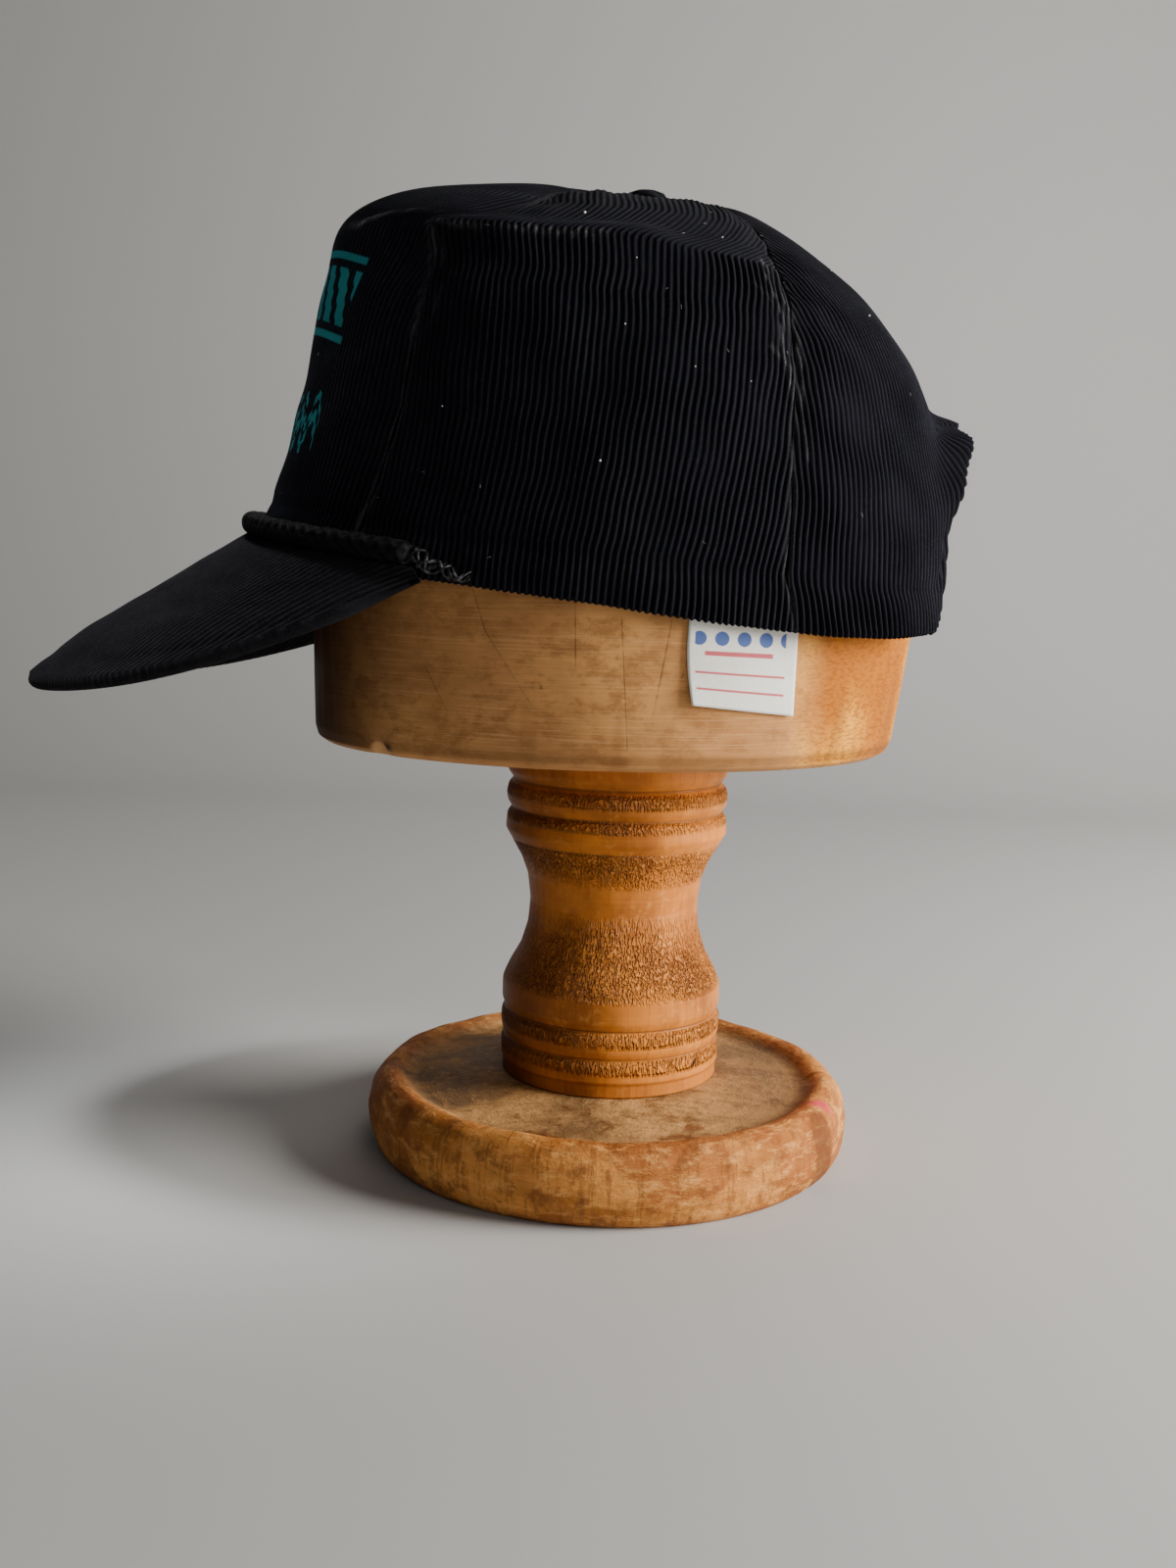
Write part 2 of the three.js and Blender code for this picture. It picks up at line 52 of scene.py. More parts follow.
CLEARANCE = 0.3
CLOTH = 2.0  # the wall of a panel
AXIS_X = 3.0  # the middle of the crown's top
OVALS = [
    {"name": "rim", "front": -106.5, "back": 95, "half": 82, "square": 2.3, "z": (182, 176, 167, 160.7, 164)},
    {"name": "band", "front": -103, "back": 95.5, "half": 83, "square": 2.2, "z": (194, 189, 181, 176, 177)},
    {"name": "waist", "front": -96.5, "back": 92, "half": 82, "square": 2.1, "z": (222, 218, 212, 207, 205)},
    {"name": "swell", "front": -88.5, "back": 81, "half": 73, "square": 2.1, "z": (254, 251, 245, 239, 235)},
    {"name": "shoulder", "front": -82, "back": 57.5, "half": 57, "square": 2.15,
     "z": (274, 270, 264, 261, 261)},
    {"name": "crest", "front": -56, "back": 30, "half": 28, "square": 2.1,
     "z": (283.2, 281.5, 278.3, 277.8, 278.8)},
    {"name": "centre", "front": -5, "back": 11, "half": 8, "square": 2, "z": (281, 281, 281, 281, 281)},
]
CROWN_TOP = 281.0
CENTRING = 0.6  # how far an oval's middle follows its own length
TOP_LEVEL = 6.55  # the panels end here, under the button
SEAMS = {
    "level": (0, 1, 2, 3, 3.7, 4, 4.4, 5, TOP_LEVEL),
    "front": (49, 50, 53, 53, 54, 66, 74.5, 76.5, 78),
    "back": (117, 115, 116, 119.5, 126, 130, 138, 150, 156),
}
SEAM_SINK = 0.9  # how deep the cloth dips at a seam
SEAM_REACH = 5  # degrees over which it dips
FOLDS = [
    {"name": "front corner", "from": 30, "to": 57, "start": 3.55, "end": 3.9, "width": 0.22, "height": 1.1},
    {"name": "side shoulder", "from": 57, "to": 96, "start": 3.62, "end": 3.78, "width": 0.2, "height": 1.8},
    {"name": "under shoulder", "from": 55, "to": 98, "start": 3.2, "end": 3.3, "width": 0.3, "height": -1.3},
    {"name": "front crease", "from": 3, "to": 30, "start": 2.1, "end": 2.5, "width": 0.25, "height": -0.9},
    {"name": "temple dent", "from": 60, "to": 84, "start": 1.7, "end": 2.0, "width": 0.5, "height": -1.1},
]
FOLD_FADE = 8  # degrees over which a fold runs out
ARCH = {"half_width": 37, "height": 53}
LIP = {"flare": 8.5, "reach": 9, "low": 186, "full": 214, "above": 8, "ripple": 0.7, "ripples": 6}
CAD_LEVELS = (
    0, 0.35, 0.7, 1, 1.35, 1.7, 2, 2.3, 2.6, 2.9, 3.2, 3.45, 3.7, 3.85, 4, 4.2, 4.4, 4.7, 5, 5.5, 6, TOP_LEVEL,
)
ARCH_ROW = 9  # the row that meets the arch's top
ARCH_CORNER = 9.0  # how far up the arch's lower corner is rounded
MM_A_DEGREE = 1.45  # at the rim's back
BACK = 180.0

# The corduroy: one rib is PITCH wide, and RIB_COLUMNS columns of the mesh shape it.
PITCH = 1.8
RIB_COLUMNS = 8
RIB_HEIGHT = 0.62
ROW_STEP = 1.9  # between the rows of the mesh


def ease(value, low, high):
    share = np.clip((value - low) / (high - low), 0, 1)
    return share * share * (3 - 2 * share)


def bell(distance, width):
    return np.exp(-((distance / width) ** 2))


def unit(vectors):
    length = np.linalg.norm(vectors, axis=-1, keepdims=True)
    return vectors / np.maximum(length, 1e-9)


def waves(u, v, seed, size=1.0):
    """A smooth wandering value between about -1 and 1 over two lengths in millimetres."""
    total = 0.0
    for turn in range(5):
        heading = seed * 1.7 + turn * 2.4
        pace = (0.16 + 0.11 * turn) / size
        total = total + np.sin(pace * (u * math.cos(heading) + v * math.sin(heading)) + seed + 1.3 * turn)
    return total / 2.6


def height_at(heights, angle):
    last = len(heights) - 1
    total = np.zeros_like(angle)
    for wave in range(last + 1):
        share = sum(
            (0.5 if place in (0, last) else 1) * value * math.cos(math.pi * place * wave / last)
            for place, value in enumerate(heights)
        )
        halved = 0.5 if wave in (0, last) else 1
        total += 2 * halved * share / last * np.cos(wave * np.radians(angle))
    return total


def oval_points(oval, angle):
    middle = AXIS_X if oval["name"] == "centre" else CENTRING * (oval["front"] + oval["back"]) / 2
    forward, sideways = np.cos(np.radians(angle)), np.sin(np.radians(angle))
    power = np.abs(forward) ** oval["square"] + np.abs(sideways) ** oval["square"]
    scale = power ** (-1 / oval["square"])
    reach = np.where(forward > 0, middle - oval["front"], oval["back"] - middle)
    return np.stack(
        [middle - reach * forward * scale, -oval["half"] * sideways * scale, height_at(oval["z"], angle)], -1
    )


def crown(angle, level):
    """The crown's plain outer face: centripetal curves through the ovals."""
    angle, level = np.broadcast_arrays(np.asarray(angle, float), np.asarray(level, float))
    shape = angle.shape
    angle, level = angle.ravel(), level.ravel()
    stack = [oval_points(oval, angle) for oval in OVALS]
    stack.append(np.tile([AXIS_X, 0.0, CROWN_TOP], (angle.size, 1)))
    stack.insert(0, 2 * stack[0] - stack[1])
    stack.append(2 * stack[-1] - stack[-2])
    nodes = np.stack(stack, 1)
    part = np.clip(np.floor(level).astype(int), 0, len(OVALS) - 1)
    share = (level - part)[:, None]
    p0, p1, p2, p3 = (nodes[np.arange(angle.size), part + step] for step in range(4))
    d0, d1, d2 = (
        np.maximum(np.sum((b - a) ** 2, -1, keepdims=True) ** 0.25, 1e-4)
        for a, b in ((p0, p1), (p1, p2), (p2, p3))
    )
    t1 = ((p1 - p0) / d0 - (p2 - p0) / (d0 + d1) + (p2 - p1) / d1) * d1
    t2 = ((p2 - p1) / d1 - (p3 - p1) / (d1 + d2) + (p3 - p2) / d2) * d1
    cubic = 2 * p1 - 2 * p2 + t1 + t2
    square = -3 * p1 + 3 * p2 - 2 * t1 - t2
    points = p1 + share * (t1 + share * (square + share * cubic))
    return points.reshape(shape + (3,))


def crown_frame(angle, level):
    """Directions up the section, along the oval and out of the cloth."""
    up = unit(crown(angle, level + 0.05) - crown(angle, np.maximum(level - 0.05, 0)))
    along = unit(crown(angle + 1, level) - crown(angle - 1, level))
    return up, along, unit(np.cross(along, up))


def seam_angle(name, level):
    return np.interp(level, SEAMS["level"], SEAMS[name])


def fold_relief(angle, level):
    turn = np.abs(angle)
    relief = np.zeros_like(turn)
    for fold in FOLDS:
        share = (turn - fold["from"]) / (fold["to"] - fold["from"])
        along = np.clip(share, 0, 1)
        beyond = np.abs(share - along) * (fold["to"] - fold["from"])
        middle = fold["start"] + (fold["end"] - fold["start"]) * along
        relief += fold["height"] * bell(level - middle, fold["width"]) * bell(beyond, FOLD_FADE)
    for name in ("front", "back"):
        relief -= SEAM_SINK * bell(turn - seam_angle(name, level), SEAM_REACH)
    return relief


# The back opening, and the lip that flares round it.

back_heights = [oval["z"][-1] for oval in OVALS]
rising = back_heights[:6]
arch_angle = math.degrees(math.asin(ARCH["half_width"] / OVALS[0]["half"]))


def back_level(z):
    return np.interp(z, rising, range(len(rising)))


arch_top = float(back_level(back_heights[0] + ARCH["height"]))


def arch_limit(level, margin):
    """The angle where the cloth ends beside the opening, at a level, with its lower corner rounded."""
    z = np.interp(level, range(len(rising)), rising)
    share = np.clip((z - back_heights[0]) / (ARCH["height"] + margin), 0, 1)
    half = math.degrees(math.asin((ARCH["half_width"] + margin) / OVALS[0]["half"]))
    corner = np.clip(1 - (z - back_heights[0]) / ARCH_CORNER, 0, 1)
    cut = ARCH_CORNER * (1 - np.sqrt(1 - corner**2)) / MM_A_DEGREE
    return BACK - half * np.sqrt(1 - share**2) - cut


def row_level(row):
    return np.interp(row, range(len(CAD_LEVELS)), CAD_LEVELS)


def arch_edge(row):
    """The inner edge of a back panel, by the CAD's rows: up the arch, then up the centre seam."""
    turn = np.pi / 2 * np.clip(row / ARCH_ROW, 0, 1)
    level = back_level(back_heights[0] + ARCH["height"] * np.sin(turn))
    angle = BACK - arch_angle * np.cos(turn)
    foot = CAD_LEVELS[ARCH_ROW]
    share = (row_level(row) - foot) / (TOP_LEVEL - foot)
    above = row > ARCH_ROW
    return np.where(above, BACK, angle), np.where(above, arch_top + (TOP_LEVEL - arch_top) * share, level)


def lip_lift(angle, level):
    """How far the lip stands out from the plain crown."""
    row = np.linspace(0, len(CAD_LEVELS) - 1, 169)
    seam_level = row_level(row)
    seam = seam_angle("back", seam_level)
    edge_angle, edge_level = arch_edge(row)
    width = np.linalg.norm(crown(edge_angle, edge_level) - crown(seam, seam_level), axis=-1)
    edge_z = crown(edge_angle, edge_level)[:, 2]
    lifts = []
    # in batches, which keep the tables below small
    for a, l in zip(np.array_split(angle.ravel(), 24), np.array_split(level.ravel(), 24)):
        share = np.clip((a[:, None] - seam) / (edge_angle - seam), -0.05, 1.05)
        over = seam_level + (edge_level - seam_level) * share
        place = np.clip((over < l[:, None]).sum(1), 1, row.size - 1)
        near = np.arange(a.size)
        low, high = over[near, place - 1], over[near, place]
        mix = np.clip((l - low) / np.maximum(high - low, 1e-9), 0, 1)
        at = row[place - 1] + mix * (row[place] - row[place - 1])
        crossed = share[near, place - 1] * (1 - mix) + share[near, place] * mix
        span = np.abs(1 - crossed) * np.interp(at, row, width)
        z = np.interp(at, row, edge_z)
        top = back_heights[0] + ARCH["height"]
        rise = ease(z, LIP["low"], LIP["full"]) * (1 - ease(z, top, top + LIP["above"]))
        wave = LIP["ripple"] * np.sin(LIP["ripples"] * np.pi * at / ARCH_ROW)
        lifts.append((LIP["flare"] + wave) * rise * bell(span, LIP["reach"]))
    return np.concatenate(lifts).reshape(angle.shape)


# ---- Mesh tools ----


def lengths(points):
    """How far along a line each of its points lies."""
    return np.concatenate([[0], np.cumsum(np.linalg.norm(np.diff(points, axis=0), axis=-1))])


def ring(sides):
    return np.linspace(0, 2 * np.pi, sides, endpoint=False)


def grid_faces(rows, columns, closed=False):
    """Quads of a grid whose points run column by column within each row."""
    across = columns if closed else columns - 1
    row, column = np.meshgrid(np.arange(rows - 1), np.arange(across), indexing="ij")
    a = row * columns + column
    b = row * columns + (column + 1) % columns
    return np.stack([a, b, b + columns, a + columns], -1).reshape(-1, 4)


def drum_faces(rings, sides):
    """Quads round a stack of rings, and a face that shuts each end."""
    first = list(range(sides))
    last = [(rings - 1) * sides + side for side in first]
    return [*grid_faces(rings, sides, closed=True).tolist(), first[::-1], last]


def make_piece(name, points, faces, material, values=None, node=None):
    """A mesh object from points in millimetres, riding on the body. values has a number or vector a point."""
    points = np.asarray(points, float).reshape(-1, 3)
    mesh = bpy.data.meshes.new(name)
    mesh.from_pydata((points * MM).tolist(), [], [[int(corner) for corner in face] for face in faces])
    mesh.polygons.foreach_set("use_smooth", [True] * len(mesh.polygons))
    for key, value in (values or {}).items():
        value = np.asarray(value, np.float32)
        kind, field = ("FLOAT", "value") if value.size == len(points) else ("FLOAT_VECTOR", "vector")
        mesh.attributes.new(key, kind, "POINT").data.foreach_set(field, value.ravel())
    mesh.materials.append(material)
    piece = bpy.data.objects.new(name, mesh)
    bpy.context.scene.collection.objects.link(piece)
    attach(piece, "root")
    for one in node or ():
        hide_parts(one)
    return piece


def gather(parts):
    """Joins (points, faces, values) parts into one set."""
    points, faces, values, start = [], [], {}, 0
    for part_points, part_faces, part_values in parts:
        flat = part_points.reshape(-1, 3)
        points.append(flat)
        faces.extend([int(corner) + start for corner in face] for face in part_faces)
        for key, value in part_values.items():
            values.setdefault(key, []).append(value.reshape(len(flat), -1))
        start += len(flat)
    return np.concatenate(points), faces, {key: np.concatenate(value) for key, value in values.items()}


def tube(path, radii, sides, outward):
    """A closed tube along a path. radii is (steps, sides), and outward says where its seam lies."""
    ahead = unit(np.gradient(path, axis=0))
    first = unit(outward - ahead * np.sum(outward * ahead, -1, keepdims=True))
    second = np.cross(ahead, first)
    turn = ring(sides)[None, :, None]
    around = first[:, None] * np.cos(turn) + second[:, None] * np.sin(turn)
    return path[:, None] + around * radii[..., None], drum_faces(len(path), sides)


def thin_ends(at, reach, least):
    """Draws a tube's radius in at both of its ends."""
    return np.sqrt(np.clip(np.minimum(at, at[-1] - at) / reach, least, 1))


# ---- Materials ----


class Paint:
    """Builds one node material, a node at a time."""

    def __init__(self, name, **surface):
        self.material = bpy.data.materials.new(name)
        self.material.use_nodes = True
        self.tree = self.material.node_tree
        self.tree.nodes.clear()
        output = self.tree.nodes.new("ShaderNodeOutputMaterial")
        self.shader = self.tree.nodes.new("ShaderNodeBsdfPrincipled")
        self.tree.links.new(self.shader.outputs[0], output.inputs["Surface"])
        self.set(**surface)

    def put(self, target, value):
        if isinstance(value, bpy.types.NodeSocket):
            self.tree.links.new(value, target)
        elif target.type == "RGBA" and len(value) == 3:
            target.default_value = (*value, 1.0)
        else:
            target.default_value = value

    def set(self, **sockets):
        for key, value in sockets.items():
            self.put(self.shader.inputs[key.replace("_", " ")], value)
        return self.material

    def node(self, kind, inputs, out=0, **settings):
        made = self.tree.nodes.new(kind)
        for key, value in settings.items():
            setattr(made, key, value)
        for key, value in inputs.items():
            self.put(made.inputs[key], value)
        return made.outputs[out]

    def value(self, name, out="Fac"):
        return self.node("ShaderNodeAttribute", {}, out, attribute_name=name)

    def vector(self, name):
        return self.value(name, "Vector")

    def axes(self, where):
        return self.node("ShaderNodeSeparateXYZ", {0: where}).node.outputs

    def stretch(self, where, scale, turn=(0, 0, 0)):
        return self.node("ShaderNodeMapping", {"Vector": where, "Scale": scale, "Rotation": turn})

    def place(self, scale=(1, 1, 1), turn=(0, 0, 0)):
        return self.stretch(self.node("ShaderNodeTexCoord", {}, "Object"), scale, turn)

    def noise(self, where, scale=1.0, detail=3.0, rough=0.55, distortion=0.0):
        inputs = {"Vector": where, "Scale": scale, "Detail": detail, "Roughness": rough}
        return self.node("ShaderNodeTexNoise", {**inputs, "Distortion": distortion})

    def math(self, kind, *values, clamp=False):
        return self.node("ShaderNodeMath", dict(enumerate(values)), operation=kind, use_clamp=clamp)

    def times(self, *values):
        return functools.reduce(lambda a, b: self.math("MULTIPLY", a, b), values)

    def plus(self, *values):
        return functools.reduce(lambda a, b: self.math("ADD", a, b), values)

    def less(self, a, b):
        return self.math("SUBTRACT", a, b)

    def far(self, a, b):
        return self.math("SQRT", self.plus(self.times(a, a), self.times(b, b)))

    def ramp(self, value, low, high, start=0.0, end=1.0):
        """Eases from start to end while value goes from low to high, which may be the smaller one."""
        limits = dict(enumerate((value, low, high, start, end)))
        return self.node("ShaderNodeMapRange", limits, interpolation_type="SMOOTHSTEP")

    def band(self, value, low, full, fall, high):
        """Rises from low to full, and falls again from fall to high."""
        return self.times(self.ramp(value, low, full), self.ramp(value, fall, high, 1.0, 0.0))

    def mix(self, share, a, b, blend="MIX"):
        return self.node("ShaderNodeMix", {0: share, 6: a, 7: b}, 2, data_type="RGBA", blend_type=blend)

    def layers(self, colour, *rows):
        """Lays colours over one. A row has a mask, where it starts and is full, a share and a colour."""
        for mask, start, full, share, over in rows:
            colour = self.mix(self.ramp(mask, start, full, 0.0, share), colour, over)
        return colour

    def line(self, x, z, ends, width):
        """1 on a thin straight line between two places on the front face, in millimetres."""
        (x0, z0), (x1, z1) = ends
        run, rise = (x1 - x0) * MM, (z1 - z0) * MM
        beside, above = self.less(x, x0 * MM), self.less(z, z0 * MM)
        along = self.plus(self.times(beside, run), self.times(above, rise))
        share = self.math("DIVIDE", along, run**2 + rise**2, clamp=True)
        away = self.far(self.less(beside, self.times(share, run)), self.less(above, self.times(share, rise)))
        return self.ramp(away, width * MM * 0.4, width * MM, 1.0, 0.0)

    def bump(self, height, strength, distance, **normal):
        inputs = {"Height": height, "Strength": strength, "Distance": distance, **normal}
        return self.node("ShaderNodeBump", inputs)


PILE = (0.0078, 0.008, 0.0118)
PILE_LIGHT = (0.022, 0.0225, 0.029)
PILE_WORN_AND_HIGHLIGHT = (0.13, 0.125, 0.13)
PILE_DEEP = (0.005, 0.0052, 0.008)
# GROOVE_SHADE is painted shade: the dark colour the pile takes in the grooves between its ribs, where their shade
# falls.
GROOVE_SHADE = (0.0038, 0.0038, 0.0055)
TEAL = (0.02, 0.2, 0.215)


def corduroy(name, printed=False, soft=0.0, painted_light=(1, 1, 1)):
    """Dark ribbed pile, with painted shade in the grooves between its ribs. Its ribs stand out most near the rim,
    and soft takes their contrast away. painted_light paints the whole pile lighter.
    """
    paint = Paint(name, Roughness=0.9, Sheen_Roughness=0.35, Sheen_Tint=(0.42, 0.44, 0.5, 1))
    rib, cloth = paint.value("rib"), paint.vector("cloth")
    fine = paint.noise(paint.place(), 2600, 3, 0.7)
    patch = paint.noise(paint.place(), 38, 3, 0.6)
    along = paint.noise(paint.stretch(cloth, (1.1, 0.22, 1)), 1, 3)
    pile = paint.layers(
        PILE, (fine, 0.42, 0.72, 1, PILE_LIGHT), (along, 0.4, 0.72, 0.5, PILE_LIGHT),
        (patch, 0.3, 0.72, 0.6, PILE_DEEP),
    )
    pile = paint.mix(1.0, pile, painted_light, "MULTIPLY")
    q, s, _ = paint.axes(cloth)
    # crest is 1 on a rib and 0 in a groove, where the colour falls to the painted groove shade. blurred keeps it
    # from falling to 0, so soft paints less groove shade.
    blurred = paint.times(paint.ramp(s, 25, 70, soft, max(soft, 0.3)), paint.ramp(patch, 0.35, 0.6, 0.6, 1.3))
    crest = paint.math("MAXIMUM", paint.ramp(rib, 0.25, 0.95), blurred)
    # worn marks pale crushed pile on the creases, and a faint painted highlight along each seam;
    # PILE_WORN_AND_HIGHLIGHT is its colour.
    worn = paint.times(paint.value("worn"), paint.ramp(along, 0.3, 0.6, 0.3, 1.3), paint.ramp(fine, 0.3, 0.6))
    colour = paint.mix(worn, paint.mix(crest, GROOVE_SHADE, pile), PILE_WORN_AND_HIGHLIGHT)
    if printed:
        on_rib, on_fuzz = paint.ramp(rib, 0.05, 0.4, 0.35, 1.0), paint.ramp(fine, 0.25, 0.42, 0.55, 1.0)
        colour = paint.mix(paint.times(print_cover(paint, q, s), on_rib, on_fuzz), colour, TEAL)
    return paint.set(
        Base_Color=colour, Normal=paint.bump(fine, 0.5, 0.0004),
        Sheen_Weight=paint.times(crest, 0.06), Specular_IOR_Level=paint.times(crest, 0.05),
    )


# The print, in millimetres: bars from low to high with a line past each end, and two waves below them.
BARS = {
    "pitch": 4.6, "gap": 1.9, "slant": 0.42, "bow": 0.0022, "low": 64.7, "high": 79.7, "reach": 48.5,
    "line_near": 2.2, "line_far": 4.2,
}
WAVES = {"turn": 0.62, "high": 4.4, "reach": 47, "bands": ((30.6, 33.8), (36.6, 38.8))}
PRINT_EDGE = 0.25


def print_cover(paint, q, s):
    """Where the print lies: a fan of slanted bars between two thin lines, over a band of waves."""
    out = paint.math("ABSOLUTE", q)

    def band(value, low, high):
        return paint.band(value, low - PRINT_EDGE, low + PRINT_EDGE, high - PRINT_EDGE, high + PRINT_EDGE)

    stripe = paint.math("PINGPONG", paint.math("MULTIPLY_ADD", s, BARS["slant"], out), BARS["pitch"])
    bowed = paint.math("MULTIPLY_ADD", paint.times(q, q), BARS["bow"], s)
    low, high, near, far = (BARS[key] for key in ("low", "high", "line_near", "line_far"))
    bars = paint.times(paint.ramp(stripe, BARS["gap"] - 0.2, BARS["gap"] + 0.2), band(bowed, low, high))
    lines = paint.plus(band(bowed, low - far, low - near), band(bowed, high + near, high + far))
    upper = paint.times(paint.plus(bars, lines), band(out, -1, BARS["reach"]))
    ripple = paint.times(paint.math("SINE", paint.times(out, WAVES["turn"])), WAVES["high"])
    waved = paint.plus(*(band(paint.less(s, ripple), *one) for one in WAVES["bands"]))
    return paint.math("ADD", upper, paint.times(waved, band(out, -1, WAVES["reach"])), clamp=True)


def rope_paint():
    paint = Paint("rope", Roughness=0.62, Specular_IOR_Level=0.12)
    fibre = paint.noise(paint.place(), 3200, 2, 0.6)
    # strand is low between the braid's strands, and there the rope is painted darker: painted shade in the
    # crevices of the braid.
    colour = paint.layers(
        (0.0003, 0.0003, 0.0004), (paint.value("strand"), 0.1, 0.85, 1, (0.0042, 0.0042, 0.0046)),
        (fibre, 0.5, 0.75, 0.3, (0.016, 0.016, 0.017)),
    )
    return paint.set(Base_Color=colour, Normal=paint.bump(fibre, 0.4, 0.0003))


def strand_paint():
    """Dark shiny strands that glint in short places."""
    paint = Paint("shiny_strand", Roughness=0.3, Specular_IOR_Level=0.35)
    fibre = paint.noise(paint.place(), 2400, 2, 0.6)
    glint = paint.noise(paint.place(), 420, 2, 0.5)
    colour = paint.layers(
        (0.0012, 0.0012, 0.0015), (fibre, 0.35, 0.7, 1, (0.006, 0.006, 0.007)),
        (glint, 0.56, 0.66, 1, (0.075, 0.075, 0.085)),
    )
    return paint.set(Base_Color=colour, Normal=paint.bump(fibre, 0.45, 0.0003))


def label_paint():
    """Cream tape with red rules and a row of blue dots, all generic, in shares of its width and height."""
    paint = Paint("label", Roughness=0.7, Sheen_Weight=0.15)
    across, down, _ = paint.axes(paint.vector("tape"))
    weave = paint.noise(paint.place(), 2600, 2, 0.5)
    stain = paint.noise(paint.place(), 90, 3, 0.6)
    colour = paint.layers(
        (0.88, 0.85, 0.75),
        (weave, 0.3, 0.7, 1, (0.95, 0.93, 0.86)), (stain, 0.5, 0.8, 0.35, (0.72, 0.63, 0.45)),
    )
    inside = paint.band(across, 0.055, 0.07, 0.88, 0.9)

    def rule(at, half):
        return paint.ramp(paint.math("ABSOLUTE", paint.less(down, at)), half, half + 0.008, 1.0, 0.0)

    thin = paint.times(paint.plus(rule(0.62, 0.008), rule(0.8, 0.008)), inside)
    broad = paint.times(rule(0.41, 0.02), paint.band(across, 0.14, 0.16, 0.76, 0.78))
    cell = paint.less(paint.math("FRACT", paint.times(across, 5.0)), 0.5)
    away = paint.far(cell, paint.times(paint.less(down, 0.25), 4.2))
    dots = paint.times(paint.ramp(away, 0.3, 0.34, 1.0, 0.0), inside)
    colour = paint.mix(dots, colour, (0.07, 0.13, 0.38))
    colour = paint.mix(paint.math("ADD", thin, broad, clamp=True), colour, (0.62, 0.1, 0.12))
    return paint.set(Base_Color=colour, Normal=paint.bump(weave, 0.3, 0.0002))


# Scratches and nicks on the block: the (x, z) of both ends, and the width.
SCRATCHES = (
    (((-40, 172), (-36, 160)), 0.3), (((-36, 160), (-24, 142)), 0.2), (((-13.5, 169), (-13, 152)), 0.3),
    (((-1.8, 165), (0.8, 131)), 0.22), (((10.8, 164), (7, 140)), 0.4), (((-2.7, 154.4), (-2.7, 154)), 0.6),
    (((-21.5, 146.6), (-21.5, 146.3)), 0.6), (((18, 163), (14, 150)), 0.25), (((-52, 150), (-46, 139)), 0.2),
)


def block_paint():
    """Side grain running round the block, turning to a slanted figure at the back."""
    paint = Paint("block_wood", Specular_IOR_Level=0.06)
    x, y, z = paint.axes(paint.place())
    grain = paint.noise(paint.place((14, 14, 520)), 1, 5, 0.68, 0.3)
    fine = paint.noise(paint.place((45, 45, 2600)), 1, 3, 0.6)
    cloud = paint.noise(paint.place((1, 1, 1.2)), 24, 4, 0.6, 0.2)
    spot = paint.noise(paint.place((110, 110, 190)), 1, 6, 0.72, 0.1)
    stain = paint.noise(paint.place((90, 90, 12)), 1, 2, 0.5)
    figure = paint.noise(paint.place((650, 300, 1300), (0, math.radians(-42), 0)), 1, 3, 0.6)
    flame = paint.noise(paint.place((30, 16, 14), (0, math.radians(20), 0)), 1, 2, 0.5)
    tan = paint.layers(
        (0.50, 0.235, 0.084),
        (cloud, 0.34, 0.66, 1, (0.76, 0.37, 0.125)), (spot, 0.44, 0.64, 0.75, (0.36, 0.155, 0.052)),
        (grain, 0.45, 0.72, 0.3, (0.36, 0.155, 0.052)), (fine, 0.48, 0.75, 0.35, (0.92, 0.52, 0.23)),
    )
    gold = paint.layers(
        (0.44, 0.135, 0.010),
        (flame, 0.42, 0.6, 1, (0.96, 0.42, 0.038)), (figure, 0.44, 0.62, 0.6, (0.26, 0.065, 0.004)),
    )
    # From x = -46 mm to the front end the block is painted nearly black: painted shade on the side turned from
    # the light.
    colour = paint.layers(
        paint.mix(paint.ramp(x, 0.040, 0.056), tan, gold),
        (x, -0.046, -0.088, 1, (0.04, 0.014, 0.005)), (stain, 0.58, 0.76, 0.4, (0.2, 0.08, 0.024)),
    )
    edge = paint.times(paint.band(z, 0.1262, 0.1275, 0.1285, 0.130), 0.35)
    colour = paint.layers(
        paint.mix(edge, colour, (0.11, 0.045, 0.014)), (z, 0.1268, 0.1258, 0.5, (0.60, 0.30, 0.11)),
    )
    marks = functools.reduce(
        lambda a, b: paint.math("MAXIMUM", a, b), (paint.line(x, z, ends, width) for ends, width in SCRATCHES)
    )
    near_side = paint.ramp(y, -0.01, 0.0, 1.0, 0.0)
    marks = paint.times(marks, near_side, paint.ramp(spot, 0.35, 0.6, 0.08, 0.5))
    colour = paint.mix(marks, colour, (0.12, 0.048, 0.016))
    colour = paint.mix(paint.value("raw"), colour, (0.66, 0.36, 0.15))
    # gap paints the chip's ragged edge near black: painted shadow under its splinters.
    colour = paint.mix(paint.value("gap"), colour, (0.01, 0.005, 0.002))
    ridges = paint.less(paint.plus(paint.times(grain, 0.6), paint.times(fine, 0.6)), paint.times(marks, 0.8))
    rough = paint.ramp(cloud, 0.3, 0.7, 0.42, 0.62)
    return paint.set(Base_Color=colour, Normal=paint.bump(ridges, 0.25, 0.0005), Roughness=rough)


